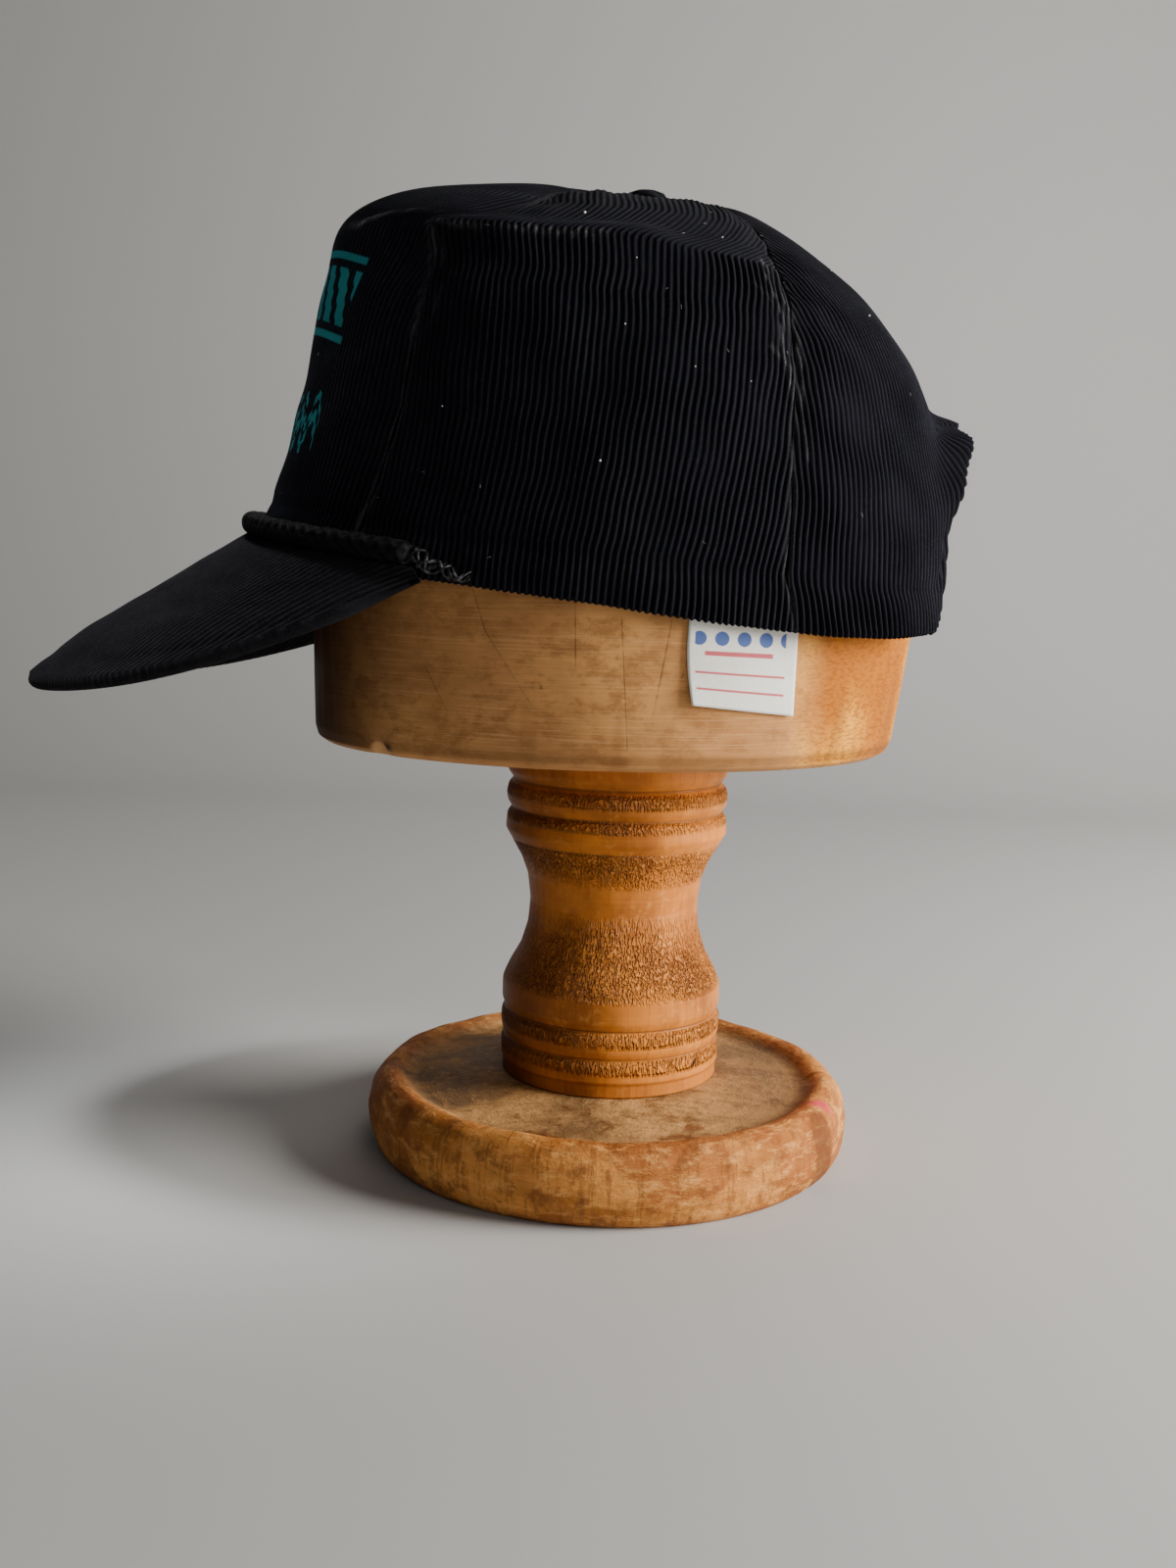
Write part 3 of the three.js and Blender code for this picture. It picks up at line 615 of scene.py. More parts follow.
def turned_paint():
    """Orange brown wood, smooth on its bands and with torn short grain below the grooves."""
    paint = Paint("turned_wood", Specular_IOR_Level=0.12)
    x, _, z = paint.axes(paint.place())
    torn = paint.value("torn")
    pits = paint.noise(paint.place((1700, 1700, 420)), 1, 1, 0.5)
    cloud = paint.noise(paint.place((1, 1, 0.7)), 34, 4, 0.6, 0.3)
    fibre = paint.noise(paint.place((700, 700, 25)), 1, 3, 0.6)
    rings = paint.noise(paint.place((6, 6, 1100)), 1, 2, 0.5)
    speck = paint.noise(paint.place((1, 1, 1.2)), 260, 3, 0.7)
    colour = paint.layers(
        (0.38, 0.118, 0.020),
        (cloud, 0.36, 0.62, 1, (0.70, 0.235, 0.034)), (fibre, 0.45, 0.75, 0.35, (0.24, 0.066, 0.012)),
        (rings, 0.55, 0.75, 0.35, (0.78, 0.30, 0.06)), (speck, 0.56, 0.68, 0.35, (0.80, 0.34, 0.08)),
    )
    # On the torn grain the pits are painted dark and the ridges between them light: painted shade and painted
    # highlights over the bump that raises the ridges.
    colour = paint.mix(paint.times(paint.ramp(pits, 0.54, 0.66), torn, 0.3), colour, (0.16, 0.04, 0.008))
    colour = paint.mix(paint.times(paint.ramp(pits, 0.42, 0.3), torn, 0.3), colour, (0.86, 0.38, 0.09))
    colour = paint.layers(colour, (z, 0.0285, 0.0275, 0.3, (0.2, 0.055, 0.012)))
    colour = paint.mix(paint.times(paint.value("groove"), 0.8), colour, (0.07, 0.02, 0.006))
    # From x = -8 mm on, the post's left side is painted darker: painted shade on the side turned from the light.
    colour = paint.layers(colour, (x, -0.008, -0.034, 0.75, (0.09, 0.026, 0.006)))
    colour = paint.mix(paint.value("mark"), colour, (0.008, 0.008, 0.01))
    pitted = paint.bump(paint.times(paint.ramp(pits, 0.4, 0.64, 1.0, 0.0), torn), 1.0, 0.0022)
    small = paint.plus(paint.times(speck, 0.5), paint.plus(fibre, rings))
    normal = paint.bump(small, 0.22, 0.0004, Normal=pitted)
    return paint.set(Base_Color=colour, Normal=normal, Roughness=paint.ramp(torn, 0.0, 1.0, 0.4, 0.6))


def base_paint():
    """A worn dish: patchy brown varnish over paler wood, dusty inside."""
    paint = Paint("base_wood", Specular_IOR_Level=0.14)

    def streaks(scale, detail, rough):
        return paint.noise(paint.stretch(paint.vector("round"), scale), 1, detail, rough, 0.15)

    worn = streaks((0.13, 0.36, 0.36), 7, 0.74)
    broad = streaks((0.022, 0.05, 0.05), 4, 0.6)
    patch = streaks((0.03, 0.022, 0.03), 2, 0.4)
    upright = streaks((0.5, 0.04, 0.08), 4, 0.7)
    cloud = paint.noise(paint.place(), 28, 5, 0.65, 0.2)
    small = paint.noise(paint.place(), 150, 6, 0.74, 0.2)
    grain = paint.noise(paint.place((30, 330, 330), (0, 0, math.radians(8))), 1, 5, 0.65, 0.2)
    wood = paint.layers(
        (0.46, 0.16, 0.030),
        (broad, 0.4, 0.6, 1, (0.76, 0.31, 0.070)), (patch, 0.48, 0.495, 0.7, (0.36, 0.10, 0.020)),
        (patch, 0.60, 0.61, 0.5, (0.24, 0.07, 0.016)), (upright, 0.53, 0.62, 0.6, (0.27, 0.085, 0.018)),
        (worn, 0.47, 0.66, 0.7, (0.88, 0.43, 0.12)), (small, 0.5, 0.64, 0.7, (0.25, 0.085, 0.02)),
    )
    dust_and_rim_shade = paint.layers(
        (0.22, 0.12, 0.048),
        (cloud, 0.40, 0.60, 1, (0.58, 0.31, 0.11)), (grain, 0.45, 0.66, 0.45, (0.20, 0.095, 0.032)),
        (worn, 0.5, 0.75, 0.5, (0.82, 0.45, 0.16)), (small, 0.51, 0.66, 0.75, (0.15, 0.065, 0.02)),
        # From x = 15 mm on, the dish is painted darker: painted shade cast by the rim over its right part.
        (paint.axes(paint.place())[0], 0.015, 0.05, 0.6, (0.13, 0.07, 0.032)),
    )
    colour = paint.mix(paint.value("dish"), wood, dust_and_rim_shade)
    colour = paint.mix(paint.value("stain"), colour, (0.17, 0.05, 0.012))
    colour = paint.mix(paint.value("pink"), colour, (0.66, 0.05, 0.07))
    height = paint.plus(paint.times(small, 0.9), paint.times(worn, 0.9))
    rough = paint.ramp(cloud, 0.3, 0.7, 0.45, 0.7)
    return paint.set(Base_Color=colour, Normal=paint.bump(height, 0.8, 0.0013), Roughness=rough)


# ---- The ribbed panels ----


def rib_profile(q, pitch=PITCH):
    """From 0 in a groove to 1 on a rib's crest."""
    phase = np.abs(q / pitch - np.round(q / pitch)) * 2
    return (1 - phase**1.7) ** 1.15


def column_grid(first, last, arch):
    """Where the panel's columns lie: each follows a rib, and ends at a seam or at the opening's edge."""
    levels = np.linspace(0, TOP_LEVEL, 260)
    share = np.linspace(0, 1, 161)
    angles = first(levels)[:, None] + (last(levels) - first(levels))[:, None] * share
    lines = crown(angles, levels[:, None])
    arc = np.zeros_like(angles)
    arc[:, 1:] = np.cumsum(np.linalg.norm(np.diff(lines, axis=1), axis=-1), axis=1)
    half = arc[:, -1] / 2
    narrowest = np.minimum.accumulate(half)
    stretch = half / narrowest
    inset = CLEARANCE / 2
    step = PITCH / RIB_COLUMNS
    reach = narrowest[0] - inset
    q = np.concatenate([[-reach], np.arange(-int(reach / step), int(reach / step) + 1) * step, [reach]])
    at = np.stack([
        np.interp(np.clip(half[row] + q * stretch[row], inset, arc[row, -1] - inset), arc[row], angles[row])
        for row in range(len(levels))
    ])
    middle = crown((first(levels) + last(levels)) / 2, levels)
    length = lengths(middle)
    # the panel only narrows with height, and np.interp needs rising keys
    keys = np.maximum.accumulate(inset - narrowest) + np.arange(len(levels)) * 1e-9
    top = np.interp(-np.abs(q), keys, levels)
    bottom = np.zeros_like(q)
    if arch:
        edge_top = float(back_level(back_heights[0] + ARCH["height"] + CLOTH / 2))
        over = (at > arch_limit(levels, CLOTH / 2)[:, None] - 0.02) & (levels <= edge_top)[:, None]
        highest = len(levels) - 1 - np.argmax(over[::-1], axis=0)
        nearer = np.clip(highest + 1, 0, len(levels) - 1)
        bottom = np.where(over.any(0), levels[nearer], 0.0)
        soft = np.convolve(np.pad(bottom, 6, mode="edge"), np.ones(13) / 13, mode="valid")
        bottom = np.maximum(bottom, soft)
        top = np.maximum(top, bottom + 0.02)
    rows = int(length[-1] / ROW_STEP)
    low, high = (np.interp(ends, levels, length) for ends in (bottom, top))
    low = low + CLOTH / 2 * (bottom < 0.05)
    s = low + np.maximum(high - low, 0.05) * np.linspace(0, 1, rows + 1)[:, None]
    level = np.interp(s, length, levels)
    place = np.interp(level, levels, np.arange(len(levels)))
    below = np.clip(place.astype(int), 0, len(levels) - 2)
    part = place - below
    column = np.arange(len(q))[None, :]
    angle = at[below, column] * (1 - part) + at[below + 1, column] * part
    off = np.abs(q * np.interp(level, levels, stretch))
    to_seam = np.maximum(np.interp(level, levels, half) - off, 0)
    if arch:
        to_seam = np.where((level < arch_top) & (q > 0), 40, to_seam)
    return {"q": q, "s": s, "low": low, "level": level, "angle": angle, "to_seam": to_seam}


FOLD_TURNS = (180, 150, 118, 86, 54, 24)
GROOVE_DEPTH = 0.35
TURN_IN = 1.6


def round_edge(line, out, inwards, radius, extra):
    """Rows of a half round fold along an edge, from the inside to the outside."""
    away = unit(np.cross(unit(np.gradient(line, axis=0)), out))
    facing = np.sum(away * inwards, -1, keepdims=True)
    # the fold leans off the panel, and least where the edge runs along the ribs
    away = unit(-away * np.sign(facing) * (0.15 + np.abs(facing)) - inwards * 0.02)
    rows = []
    for turn in np.radians(FOLD_TURNS):
        size = radius + extra * max(0.0, 0.35 + 0.65 * math.cos(turn))
        rows.append(line + (out * math.cos(turn) + away * math.sin(turn)) * size[..., None])
    return rows


def ribbed_panel(first, last, seed, arch=False, bulge=None):
    """One panel's ribbed outer face, with its folded lower edge and its turned in seams."""
    grid = column_grid(first, last, arch)
    angle, level, s, to_seam = (grid[key] for key in ("angle", "level", "s", "to_seam"))
    q = np.broadcast_to(grid["q"], s.shape)
    up, along, out = crown_frame(angle, level)
    lift = lip_lift(angle, level) if arch else np.zeros_like(s)
    above = s - grid["low"]
    wander = waves(q, s, seed, 1.6)
    loose = 0.5 * waves(q, s, seed + 3, 5.0) + 0.25 * waves(q, s, seed + 7, 2.2)
    tight = bell(to_seam, 0.9)
    rib = rib_profile(q)
    near_rim = bell(above, 9.0)
    curled = np.clip(lift / LIP["flare"], 0, 1) * bell(above, 6)
    flat = 1 - 0.55 * ease(level, 3.5, 4.2)
    rib_size = RIB_HEIGHT * flat * (1 + 0.3 * wander) * (1 - 0.45 * tight)
    rib_size = rib_size * (1 + 0.55 * near_rim + 0.8 * curled)
    stitched = 0.5 * bell(above - 11, 2.2) * (lift < 0.5)
    marks = np.clip(crease_marks(angle, level), 0, 1)
    relief = fold_relief(angle, level) + loose * (1 - bell(to_seam, 6)) - stitched
    relief = relief + 0.3 * near_rim - 0.22 * tight
    if bulge is not None:
        relief = relief + bulge(angle, level, q, s, to_seam)
    relief = relief + 0.6 * marks
    sway = 0.22 * waves(q, s, seed + 11, 1.1) + 0.5 * waves(q, s, seed + 15, 3.5) * near_rim
    surface = crown(angle, level) + along * sway[..., None]
    sunk = relief + lift - GROOVE_DEPTH
    outer = surface + out * (sunk + rib_size * rib)[..., None]
    radius = CLOTH / 2 - GROOVE_DEPTH
    edge = surface[0] + out[0] * (sunk[0] - radius)[..., None]
    fold = round_edge(edge, out[0], up[0], radius, rib_size[0] * rib[0])
    inner_start = edge - out[0] * 1.2 + up[0] * (0.8 if arch else 4)
    points = np.concatenate([[inner_start], fold, outer, [outer[-1] - out[-1] * TURN_IN]])
    around = ((1 + len(fold), 1), (1, 1))
    outs = np.pad(out, (around[0], (0, 0), (0, 0)), mode="edge")
    left, right = (points[:, side] - outs[:, side] * TURN_IN for side in (slice(None, 1), slice(-1, None)))
    points = np.concatenate([left, points, right], 1)
    # Lower rib values take more of the painted groove shade: the fold under the rim runs from 0 on its inside,
    # the turned-in sides take 0.3 and the top 0.4 of its rib.
    turned = [rib[0] * share for share in (0, 0.1, 0.3, 0.5, 0.7, 0.85, 0.95)]
    ribs = np.pad(np.concatenate([turned, rib, rib[-1:] * 0.4]), ((0, 0), (1, 1)), constant_values=0.3)
    # worn holds the crease wear, and 0.2 of tight paints a faint highlight along each seam.
    q, s, worn = (np.pad(one, around, mode="edge") for one in (q, s, np.maximum(0.2 * tight, marks)))
    return points, {"rib": ribs, "cloth": np.stack([q, s, np.zeros_like(s)], -1), "worn": worn}


def inner_face(first, last, arch=False):
    """The panel's plain inner face, coarse because little of it shows."""
    rows = np.linspace(0, len(CAD_LEVELS) - 1, 43)
    if arch:
        rows = np.union1d(rows, np.linspace(ARCH_ROW - 2, ARCH_ROW + 1.5, 43))
    left_level = right_level = row_level(rows)
    left_angle, right_angle = first(left_level), last(left_level)
    if arch:
        right_angle, right_level = arch_edge(rows)
    share = np.linspace(0, 1, 49)
    angle = left_angle[:, None] + (right_angle - left_angle)[:, None] * share
    level = left_level[:, None] + (right_level - left_level)[:, None] * share
    lowest = 0.12
    if arch:
        near = np.clip(1 - (BACK - arch_angle - angle) * MM_A_DEGREE / ARCH_CORNER, 0, 1)
        corner = ARCH_CORNER * (1 - np.sqrt(1 - near**2)) * (angle < BACK - arch_angle + 3)
        lowest = lowest + corner / (back_heights[1] - back_heights[0])
    level = np.maximum(level, lowest)
    _, _, out = crown_frame(angle, level)
    lift = lip_lift(angle, level) if arch else 0.0
    depth = fold_relief(angle, level) + lift - CLOTH
    return crown(angle, level) + out * depth[..., None]


def panel_parts(first, last, seed, arch=False, bulge=None):
    points, values = ribbed_panel(first, last, seed, arch, bulge)
    inside = inner_face(first, last, arch)
    plain = np.zeros(inside.shape[:2])
    lining = {"rib": plain + 0.3, "cloth": inside, "worn": plain}
    faces, inner_faces = (grid_faces(*one.shape[:2]) for one in (points, inside))
    return gather([(points, faces, values), (inside, inner_faces[:, ::-1], lining)])


def mirrored(parts):
    points, faces, values = parts
    return points * (1.0, -1.0, 1.0), [face[::-1] for face in faces], values


# Pale worn creases: points as (degrees round, level up), how strong and how wide in mm.
CREASES = (
    (((33, 3.68), (42, 3.86), (50, 3.9), (55, 3.84)), 0.8, 0.9), (((21, 3.7), (33, 3.66)), 0.4, 1.4),
    (((55, 3.84), (56, 3.66), (60, 3.62), (68, 3.62), (78, 3.63), (88, 3.68)), 0.55, 0.8),
    (((55, 3.6), (54.4, 3.3), (53.8, 3.0)), 0.28, 0.9), (((53.6, 2.9), (52.6, 2.5)), 0.25, 0.8),
    (((56.8, 3.45), (56.2, 3.15)), 0.25, 0.5), (((57.4, 2.9), (56.4, 2.6)), 0.22, 0.5),
    (((119.5, 3.5), (118.2, 3.2), (117.6, 2.9)), 0.45, 0.5), (((121, 3.3), (119.4, 2.95), (119, 2.6)), 0.5, 0.5),
    (((116.5, 2.9), (116, 2.6), (116.8, 2.3)), 0.4, 0.6), (((118.8, 2.5), (118, 2.2), (118.6, 1.9)), 0.35, 0.5),
    (((114, 3.3), (117, 3.12)), 0.3, 0.5), (((113.5, 2.7), (117, 2.56)), 0.3, 0.5),
    (((123, 3.8), (121, 3.55)), 0.4, 0.6),
)
CREASE_MM = (1.4, 27)  # how long a degree and a level are where the creases lie


def crease_marks(angle, level):
    """Where the pile is creased and worn pale, from 0 to 1."""
    marks = np.zeros_like(angle)
    wide, tall = CREASE_MM
    for line, strength, width in CREASES:
        for (from_angle, from_level), (to_angle, to_level) in zip(line, line[1:]):
            run, rise = (to_angle - from_angle) * wide, (to_level - from_level) * tall
            beside, above = (np.abs(angle) - from_angle) * wide, (level - from_level) * tall
            share = np.clip((beside * run + above * rise) / (run**2 + rise**2), 0, 1)
            off = np.hypot(beside - share * run, above - share * rise)
            marks = np.maximum(marks, strength * bell(off, width))
    return marks * (0.75 + 0.5 * waves(angle * wide, level * tall, 15.0, 1.2))


def seam_pucker(angle, level, q, s, _=None):
    """The back seam draws the cloth in between the swell and the waist."""
    turn = np.abs(angle) - seam_angle("back", level)
    drawn = bell(turn, 10) * ease(level, 1.8, 2.6) * (1 - ease(level, 3.4, 4.1))
    ripple = 0.12 * np.sin(s * 0.62 + 0.8 * np.sin(s * 0.19))
    return drawn * (ripple + 0.3 * waves(q * 1.8, s * 0.7, 6.0, 0.8) - 0.1)


def side_pucker(angle, level, q, s, to_edge):
    """Gathers where the side panel turns over the shoulder into the top seam, with those of the back seam."""
    gathered = ease(level, 3.7, 4.2) * bell(to_edge, 14)
    gathers = gathered * 0.3 * (np.sin(q * 0.72 + 0.9 * np.sin(s * 0.13) + 0.4) + waves(q, s, 9.0, 0.9))
    return gathers + seam_pucker(angle, level, q, s)


def put_panel(name, parts, paint):
    points, faces, values = parts
    return make_piece(name + "_cloth", points, faces, paint, values, node=[name])


def centre_back(level):
    return np.full_like(level, BACK)


front_seam, back_seam = (functools.partial(seam_angle, name) for name in ("front", "back"))
cloth_paint = corduroy("corduroy", soft=0.22)
printed_paint = corduroy("printed_corduroy", printed=True, soft=0.22)
front = panel_parts(lambda level: -front_seam(level), front_seam, 1.0)
side = panel_parts(front_seam, back_seam, 2.0, bulge=side_pucker)
rear = panel_parts(back_seam, centre_back, 4.0, arch=True, bulge=seam_pucker)
put_panel("front_panel", front, printed_paint)
put_panel("left_side_panel", side, cloth_paint)
put_panel("right_side_panel", mirrored(side), cloth_paint)
put_panel("left_back_panel", rear, cloth_paint)
put_panel("right_back_panel", mirrored(rear), cloth_paint)

# ---- The peak ----

PEAK = {
    "thickness": 3, "gap": 2.2 * CLEARANCE, "rear_angle": 61, "level": 0.16, "tip": -173, "rear": -53,
    "half": 78, "square": 2.05, "crest_height": 183.3, "crest_start": -110, "slope": 0.53, "droop": 0.0012,
    "arch": 146, "arch_flare": 0.22, "tip_drop": 5, "roll": 0.013, "swell": 2.2, "tip_swell": 1.3,
}
PEAK_PITCH = 1.55
PEAK_COLUMNS = 5
PEAK_ROWS = 54
PEAK_TURNS = (24, 48, 72, 96, 120, 144, 168)  # round its edge


def peak_height(x, y):
    ahead = PEAK["crest_start"] - x
    crest = PEAK["crest_height"] - PEAK["slope"] * ahead - PEAK["droop"] * ahead**2
    return crest - y**2 / (PEAK["arch"] - PEAK["arch_flare"] * ahead) - PEAK["roll"] * y


def peak_edge(across):
    turn = np.pi / 2 * np.minimum(np.abs(across), 1)
    x = PEAK["rear"] + (PEAK["tip"] - PEAK["rear"]) * np.cos(turn) ** (2 / PEAK["square"])
    y = -np.sign(across) * PEAK["half"] * np.sin(turn) ** (2 / PEAK["square"])
    return np.stack([x, y, peak_height(x, y) - PEAK["tip_drop"] * np.cos(turn) ** 2], -1)


def peak_root(across):
    angle = across * PEAK["rear_angle"]
    level = np.full_like(angle, PEAK["level"])
    up, _, out = crown_frame(angle, level)
    return crown(angle, level) + out * PEAK["gap"], up


def peak_point(across, share):
    root = peak_root(across)[0]
    point = root + (peak_edge(across) - root) * share[..., None]
    point[..., 2] += PEAK["swell"] * np.sin(np.pi * share) * np.cos(np.pi / 2 * across)
    return point


def peak_columns(edge):
    """The columns along the ribs: their y, and how far they lie from the middle over the arch."""
    half = PEAK["half"] - 0.003
    y_line = np.linspace(-half, half, 1201)
    slope = np.sqrt(1 + (2 * y_line / PEAK["arch"]) ** 2)
    run = np.concatenate([[0], np.cumsum((slope[1:] + slope[:-1]) / 2 * np.diff(y_line))])
    run -= np.interp(0, y_line, run)
    step = PEAK_PITCH / PEAK_COLUMNS
    count = int(run[-1] / step)
    y = np.interp(np.arange(-count, count + 1) * step, run, y_line)
    # more columns at the sides, where the edge runs along the ribs
    edge_run = lengths(edge)
    extra = np.interp(np.arange(0.4, edge_run[-1], 0.7), edge_run, edge[:, 1])
    extra = extra[(np.abs(extra) > 0.8 * half) & (np.abs(extra) < half)]
    y = np.unique(np.concatenate([y, extra]))
    return y, np.interp(y, y_line, run)


def peak_rows(across, root, edge, y):
    """Each column's places across the peak, and its shares of the way from the crown to the edge."""
    t = np.linspace(0, 1, PEAK_ROWS + 1)[:, None] ** 0.94
    rear = np.abs(root[0, 1])
    start = np.clip((np.abs(y) - rear) / (PEAK["half"] - rear), 0, 0.998)
    share = start + (1 - start) * t
    place = np.empty_like(share)
    for row in range(PEAK_ROWS + 1):
        wide = root[:, 1] + (edge[:, 1] - root[:, 1]) * share[row][:, None]
        # y falls as the place across rises, so the keys are turned round
        place[row] = [np.interp(-one, -line, across) for one, line in zip(y, wide)]
    return place, share


def peak_piece():
    """Both faces of the peak as columns along its ribs, which run from the crown to its edge and round it."""
    across = np.linspace(-1, 1, 4001)
    root, edge = peak_root(across)[0], peak_edge(across)
    y, q = peak_columns(edge)
    place, share = peak_rows(across, root, edge, y)
    point = peak_point(place, share)
    little = 0.004
    ahead = peak_point(place, np.minimum(share + little, 1.2)) - peak_point(place, share - little)
    beside = peak_point(place + little, share) - peak_point(place - little, share)
    normal = unit(np.cross(beside, ahead))
    normal *= np.sign(normal[..., 2:])
    q_all = np.broadcast_to(q, share.shape)
    s = share * 90
    rib = np.broadcast_to(rib_profile(q, PEAK_PITCH), share.shape)
    to_edge = (1 - share) * 70
    size = 0.42 * (1 + 0.3 * waves(q_all, s, 21.0, 1.4)) * (1 - 0.5 * bell(to_edge, 2.5))
    loose = 0.35 * waves(q_all, s, 24.0, 4.0)
    half_thick = PEAK["thickness"] / 2 + 0.25 + 0.55 * bell(to_edge, 4) - 0.25 * bell(to_edge - 7, 2)
    half_thick = half_thick * (1 - 0.55 * ease(np.abs(place), 0.9, 1.0))
    raised = PEAK["tip_swell"] * bell(share - 0.78, 0.24) * np.cos(np.pi / 2 * np.clip(place * 1.15, -1, 1))
    top = point + normal * (half_thick - 0.3 + size * rib + loose + raised)[..., None]
    line = point[-1]
    round_it, ribwise = unit(np.gradient(line, axis=0)), unit(ahead[-1])
    outwards = unit(np.cross(round_it, normal[-1]))
    outwards *= np.sign(np.sum(outwards * ribwise, -1, keepdims=True))
    beside_edge = np.abs(np.sum(round_it * ribwise, -1))
    shown = 1 - ease(beside_edge, 0.55, 0.85)
    edge_rib = rib[-1] * shown + 0.55 * (1 - shown)
    roll = []
    for turn in np.radians(PEAK_TURNS):
        away = normal[-1] * math.cos(turn) + outwards * math.sin(turn)
        reach = half_thick[-1] - 0.3 + (size[-1] * edge_rib * 0.6 + loose[-1]) * (0.7 + 0.3 * math.cos(turn))
        roll.append(line + away * reach[..., None])
    below = np.arange(PEAK_ROWS, -1, -3)
    hollow = half_thick[below] - 0.3 + 0.25 * rib[below] - 0.2 * loose[below]
    under = point[below] - normal[below] * hollow[..., None]
    # the rear sides are rounded from the lower face back to the upper
    back = unit(point[0] - point[2]) * half_thick[0][:, None] * 0.8
    shut = [under[-1] + back * 0.6, point[0] + back, top[0] + back * 0.6, top[0]]
    grid = np.concatenate([top, roll, under, shut])
    # The rolled edge fades to 0.4 of its rib and the underside takes 0.4, so both take more of the painted groove
    # shade.
    low_rib = edge_rib * np.linspace(0.95, 0.4, len(roll))[:, None]
    ribs = np.concatenate([rib, low_rib, rib[below] * 0.4, np.full((len(shut), q.size), 0.4)])
    s_all = np.concatenate([s, np.repeat(s[-1:], len(roll), 0), s[below], np.repeat(s[:1], len(shut), 0)])
    plain = np.zeros_like(ribs)
    cloth = np.stack([np.broadcast_to(q, ribs.shape), s_all, plain], -1)
    faces = grid_faces(*ribs.shape)[:, ::-1]
    values = {"rib": ribs, "cloth": cloth, "worn": plain}
    make_piece("peak_cloth", grid, faces, peak_paint, values, ["peak"])


# The peak's pile is painted about twice as light as the crown's: painted light standing in for the light its top
# lacks under the lamps.
peak_paint = corduroy("peak_corduroy", soft=0.6, painted_light=(2.1, 1.95, 1.6))
peak_piece()

# ---- Lint on the cloth ----

LINT = [
    {"angle": 85, "level": 4.1, "size": 0.75}, {"angle": 89, "level": 2.7, "size": 0.4},
    {"angle": 86, "level": 1.7, "size": 0.65}, {"angle": 93, "level": 3.45, "size": 0.35},
    {"angle": 116, "level": 4.0, "size": 0.45}, {"angle": 100, "level": 2.45, "size": 0.35},
    {"angle": 152, "level": 3.9, "size": 0.45}, {"angle": 145.5, "level": 3.3, "size": 0.6},
    {"angle": 109, "level": 2.4, "size": 0.3}, {"angle": 61, "level": 2.0, "size": 0.4},
]
LINT_SCATTER = 30
LINT_STEPS, LINT_SIDES = 6, 7


def lint_piece():
    """A few bright specks where they show, and many faint short fibres."""
    chance = np.random.default_rng(7)
    parts = []
    for count in range(LINT_SCATTER + len(LINT)):
        if count < len(LINT):
            spot = LINT[count]
            angle, level, size, bright = float(spot["angle"]), float(spot["level"]), spot["size"] / 2, 1.0
            length = size * 1.4
        else:
            angle = chance.uniform(20, 150) * (1 if chance.random() < 0.7 else -1)
            level, size = chance.uniform(0.4, 4.6), chance.uniform(0.05, 0.09)
            bright = chance.uniform(0.05, 0.3)
            length = chance.uniform(0.5, 1.6)
        heading = chance.uniform(0, math.pi)
        here = np.array([angle]), np.array([level])
        up, along, out = crown_frame(*here)
        where = crown(angle, level) + out[0] * (0.45 + size * 0.4 + fold_relief(*here)[0])
        run = along[0] * math.cos(heading) + up[0] * math.sin(heading)
        turn = np.linspace(-1, 1, LINT_STEPS)[:, None]
        line = where + run * turn * length / 2 + out[0] * (1 - turn**2) * 0.08
        radii = np.repeat(size * np.sqrt(np.clip(1.04 - turn**2, 0.05, 1)), LINT_SIDES, 1)
        points, faces = tube(line, radii, LINT_SIDES, np.repeat(out, LINT_STEPS, 0))
        parts.append((points, faces, {"bright": np.full(radii.shape, bright)}))
    points, faces, values = gather(parts)
    paint = Paint("lint", Roughness=0.9)
    colour = paint.mix(paint.value("bright"), (0.05, 0.048, 0.05), (0.8, 0.78, 0.74))
    make_piece("cloth_lint", points, faces, paint.set(Base_Color=colour), values)


lint_piece()

# ---- The rope, with its loose shiny ends ----

ROPE = {
    "radius": 3, "gap": 0.25 + CLEARANCE, "sink": 1 - CLEARANCE, "rise": 0.2, "rear_angle": 67, "leave_angle": 61,
    "end_rise": 0.5, "settle": 1.7,
}
ROPE_SIDES = 40
BRAID = {"span": 61, "lobes": 4, "pitch": 8.0, "depth": 0.75}
STRAND = {"from": 59, "to": 70, "count": 3, "sides": 12}


def rope_path(angle):
    across = np.clip(angle / PEAK["rear_angle"], -1, 1)
    level = np.full_like(angle, PEAK["level"])
    up, _, out = crown_frame(angle, level)
    slope = unit(peak_point(across, np.full_like(across, 0.1)) - peak_point(across, np.zeros_like(across)))
    lean = np.maximum(0, -np.sum(slope * up, -1))
    over = PEAK["thickness"] / 2 + ROPE["radius"] * (1 + lean * ROPE["rise"]) - ROPE["sink"]
    leaving = ease(np.abs(angle), ROPE["leave_angle"], ROPE["rear_angle"])
    height = over * (1 - leaving) + ROPE["end_rise"] * leaving
    height = height - ROPE["settle"] * bell(angle, 38)
    return crown(angle, level) + out * (ROPE["radius"] + ROPE["gap"]) + up * height[:, None], out


def evenly(path, step, *others):
    length = lengths(path)
    at = np.linspace(0, length[-1], int(length[-1] / step) + 1)

    def spaced(line):
        return np.stack([np.interp(at, length, line[:, axis]) for axis in range(3)], -1)

    return at, *map(spaced, (path, *others))


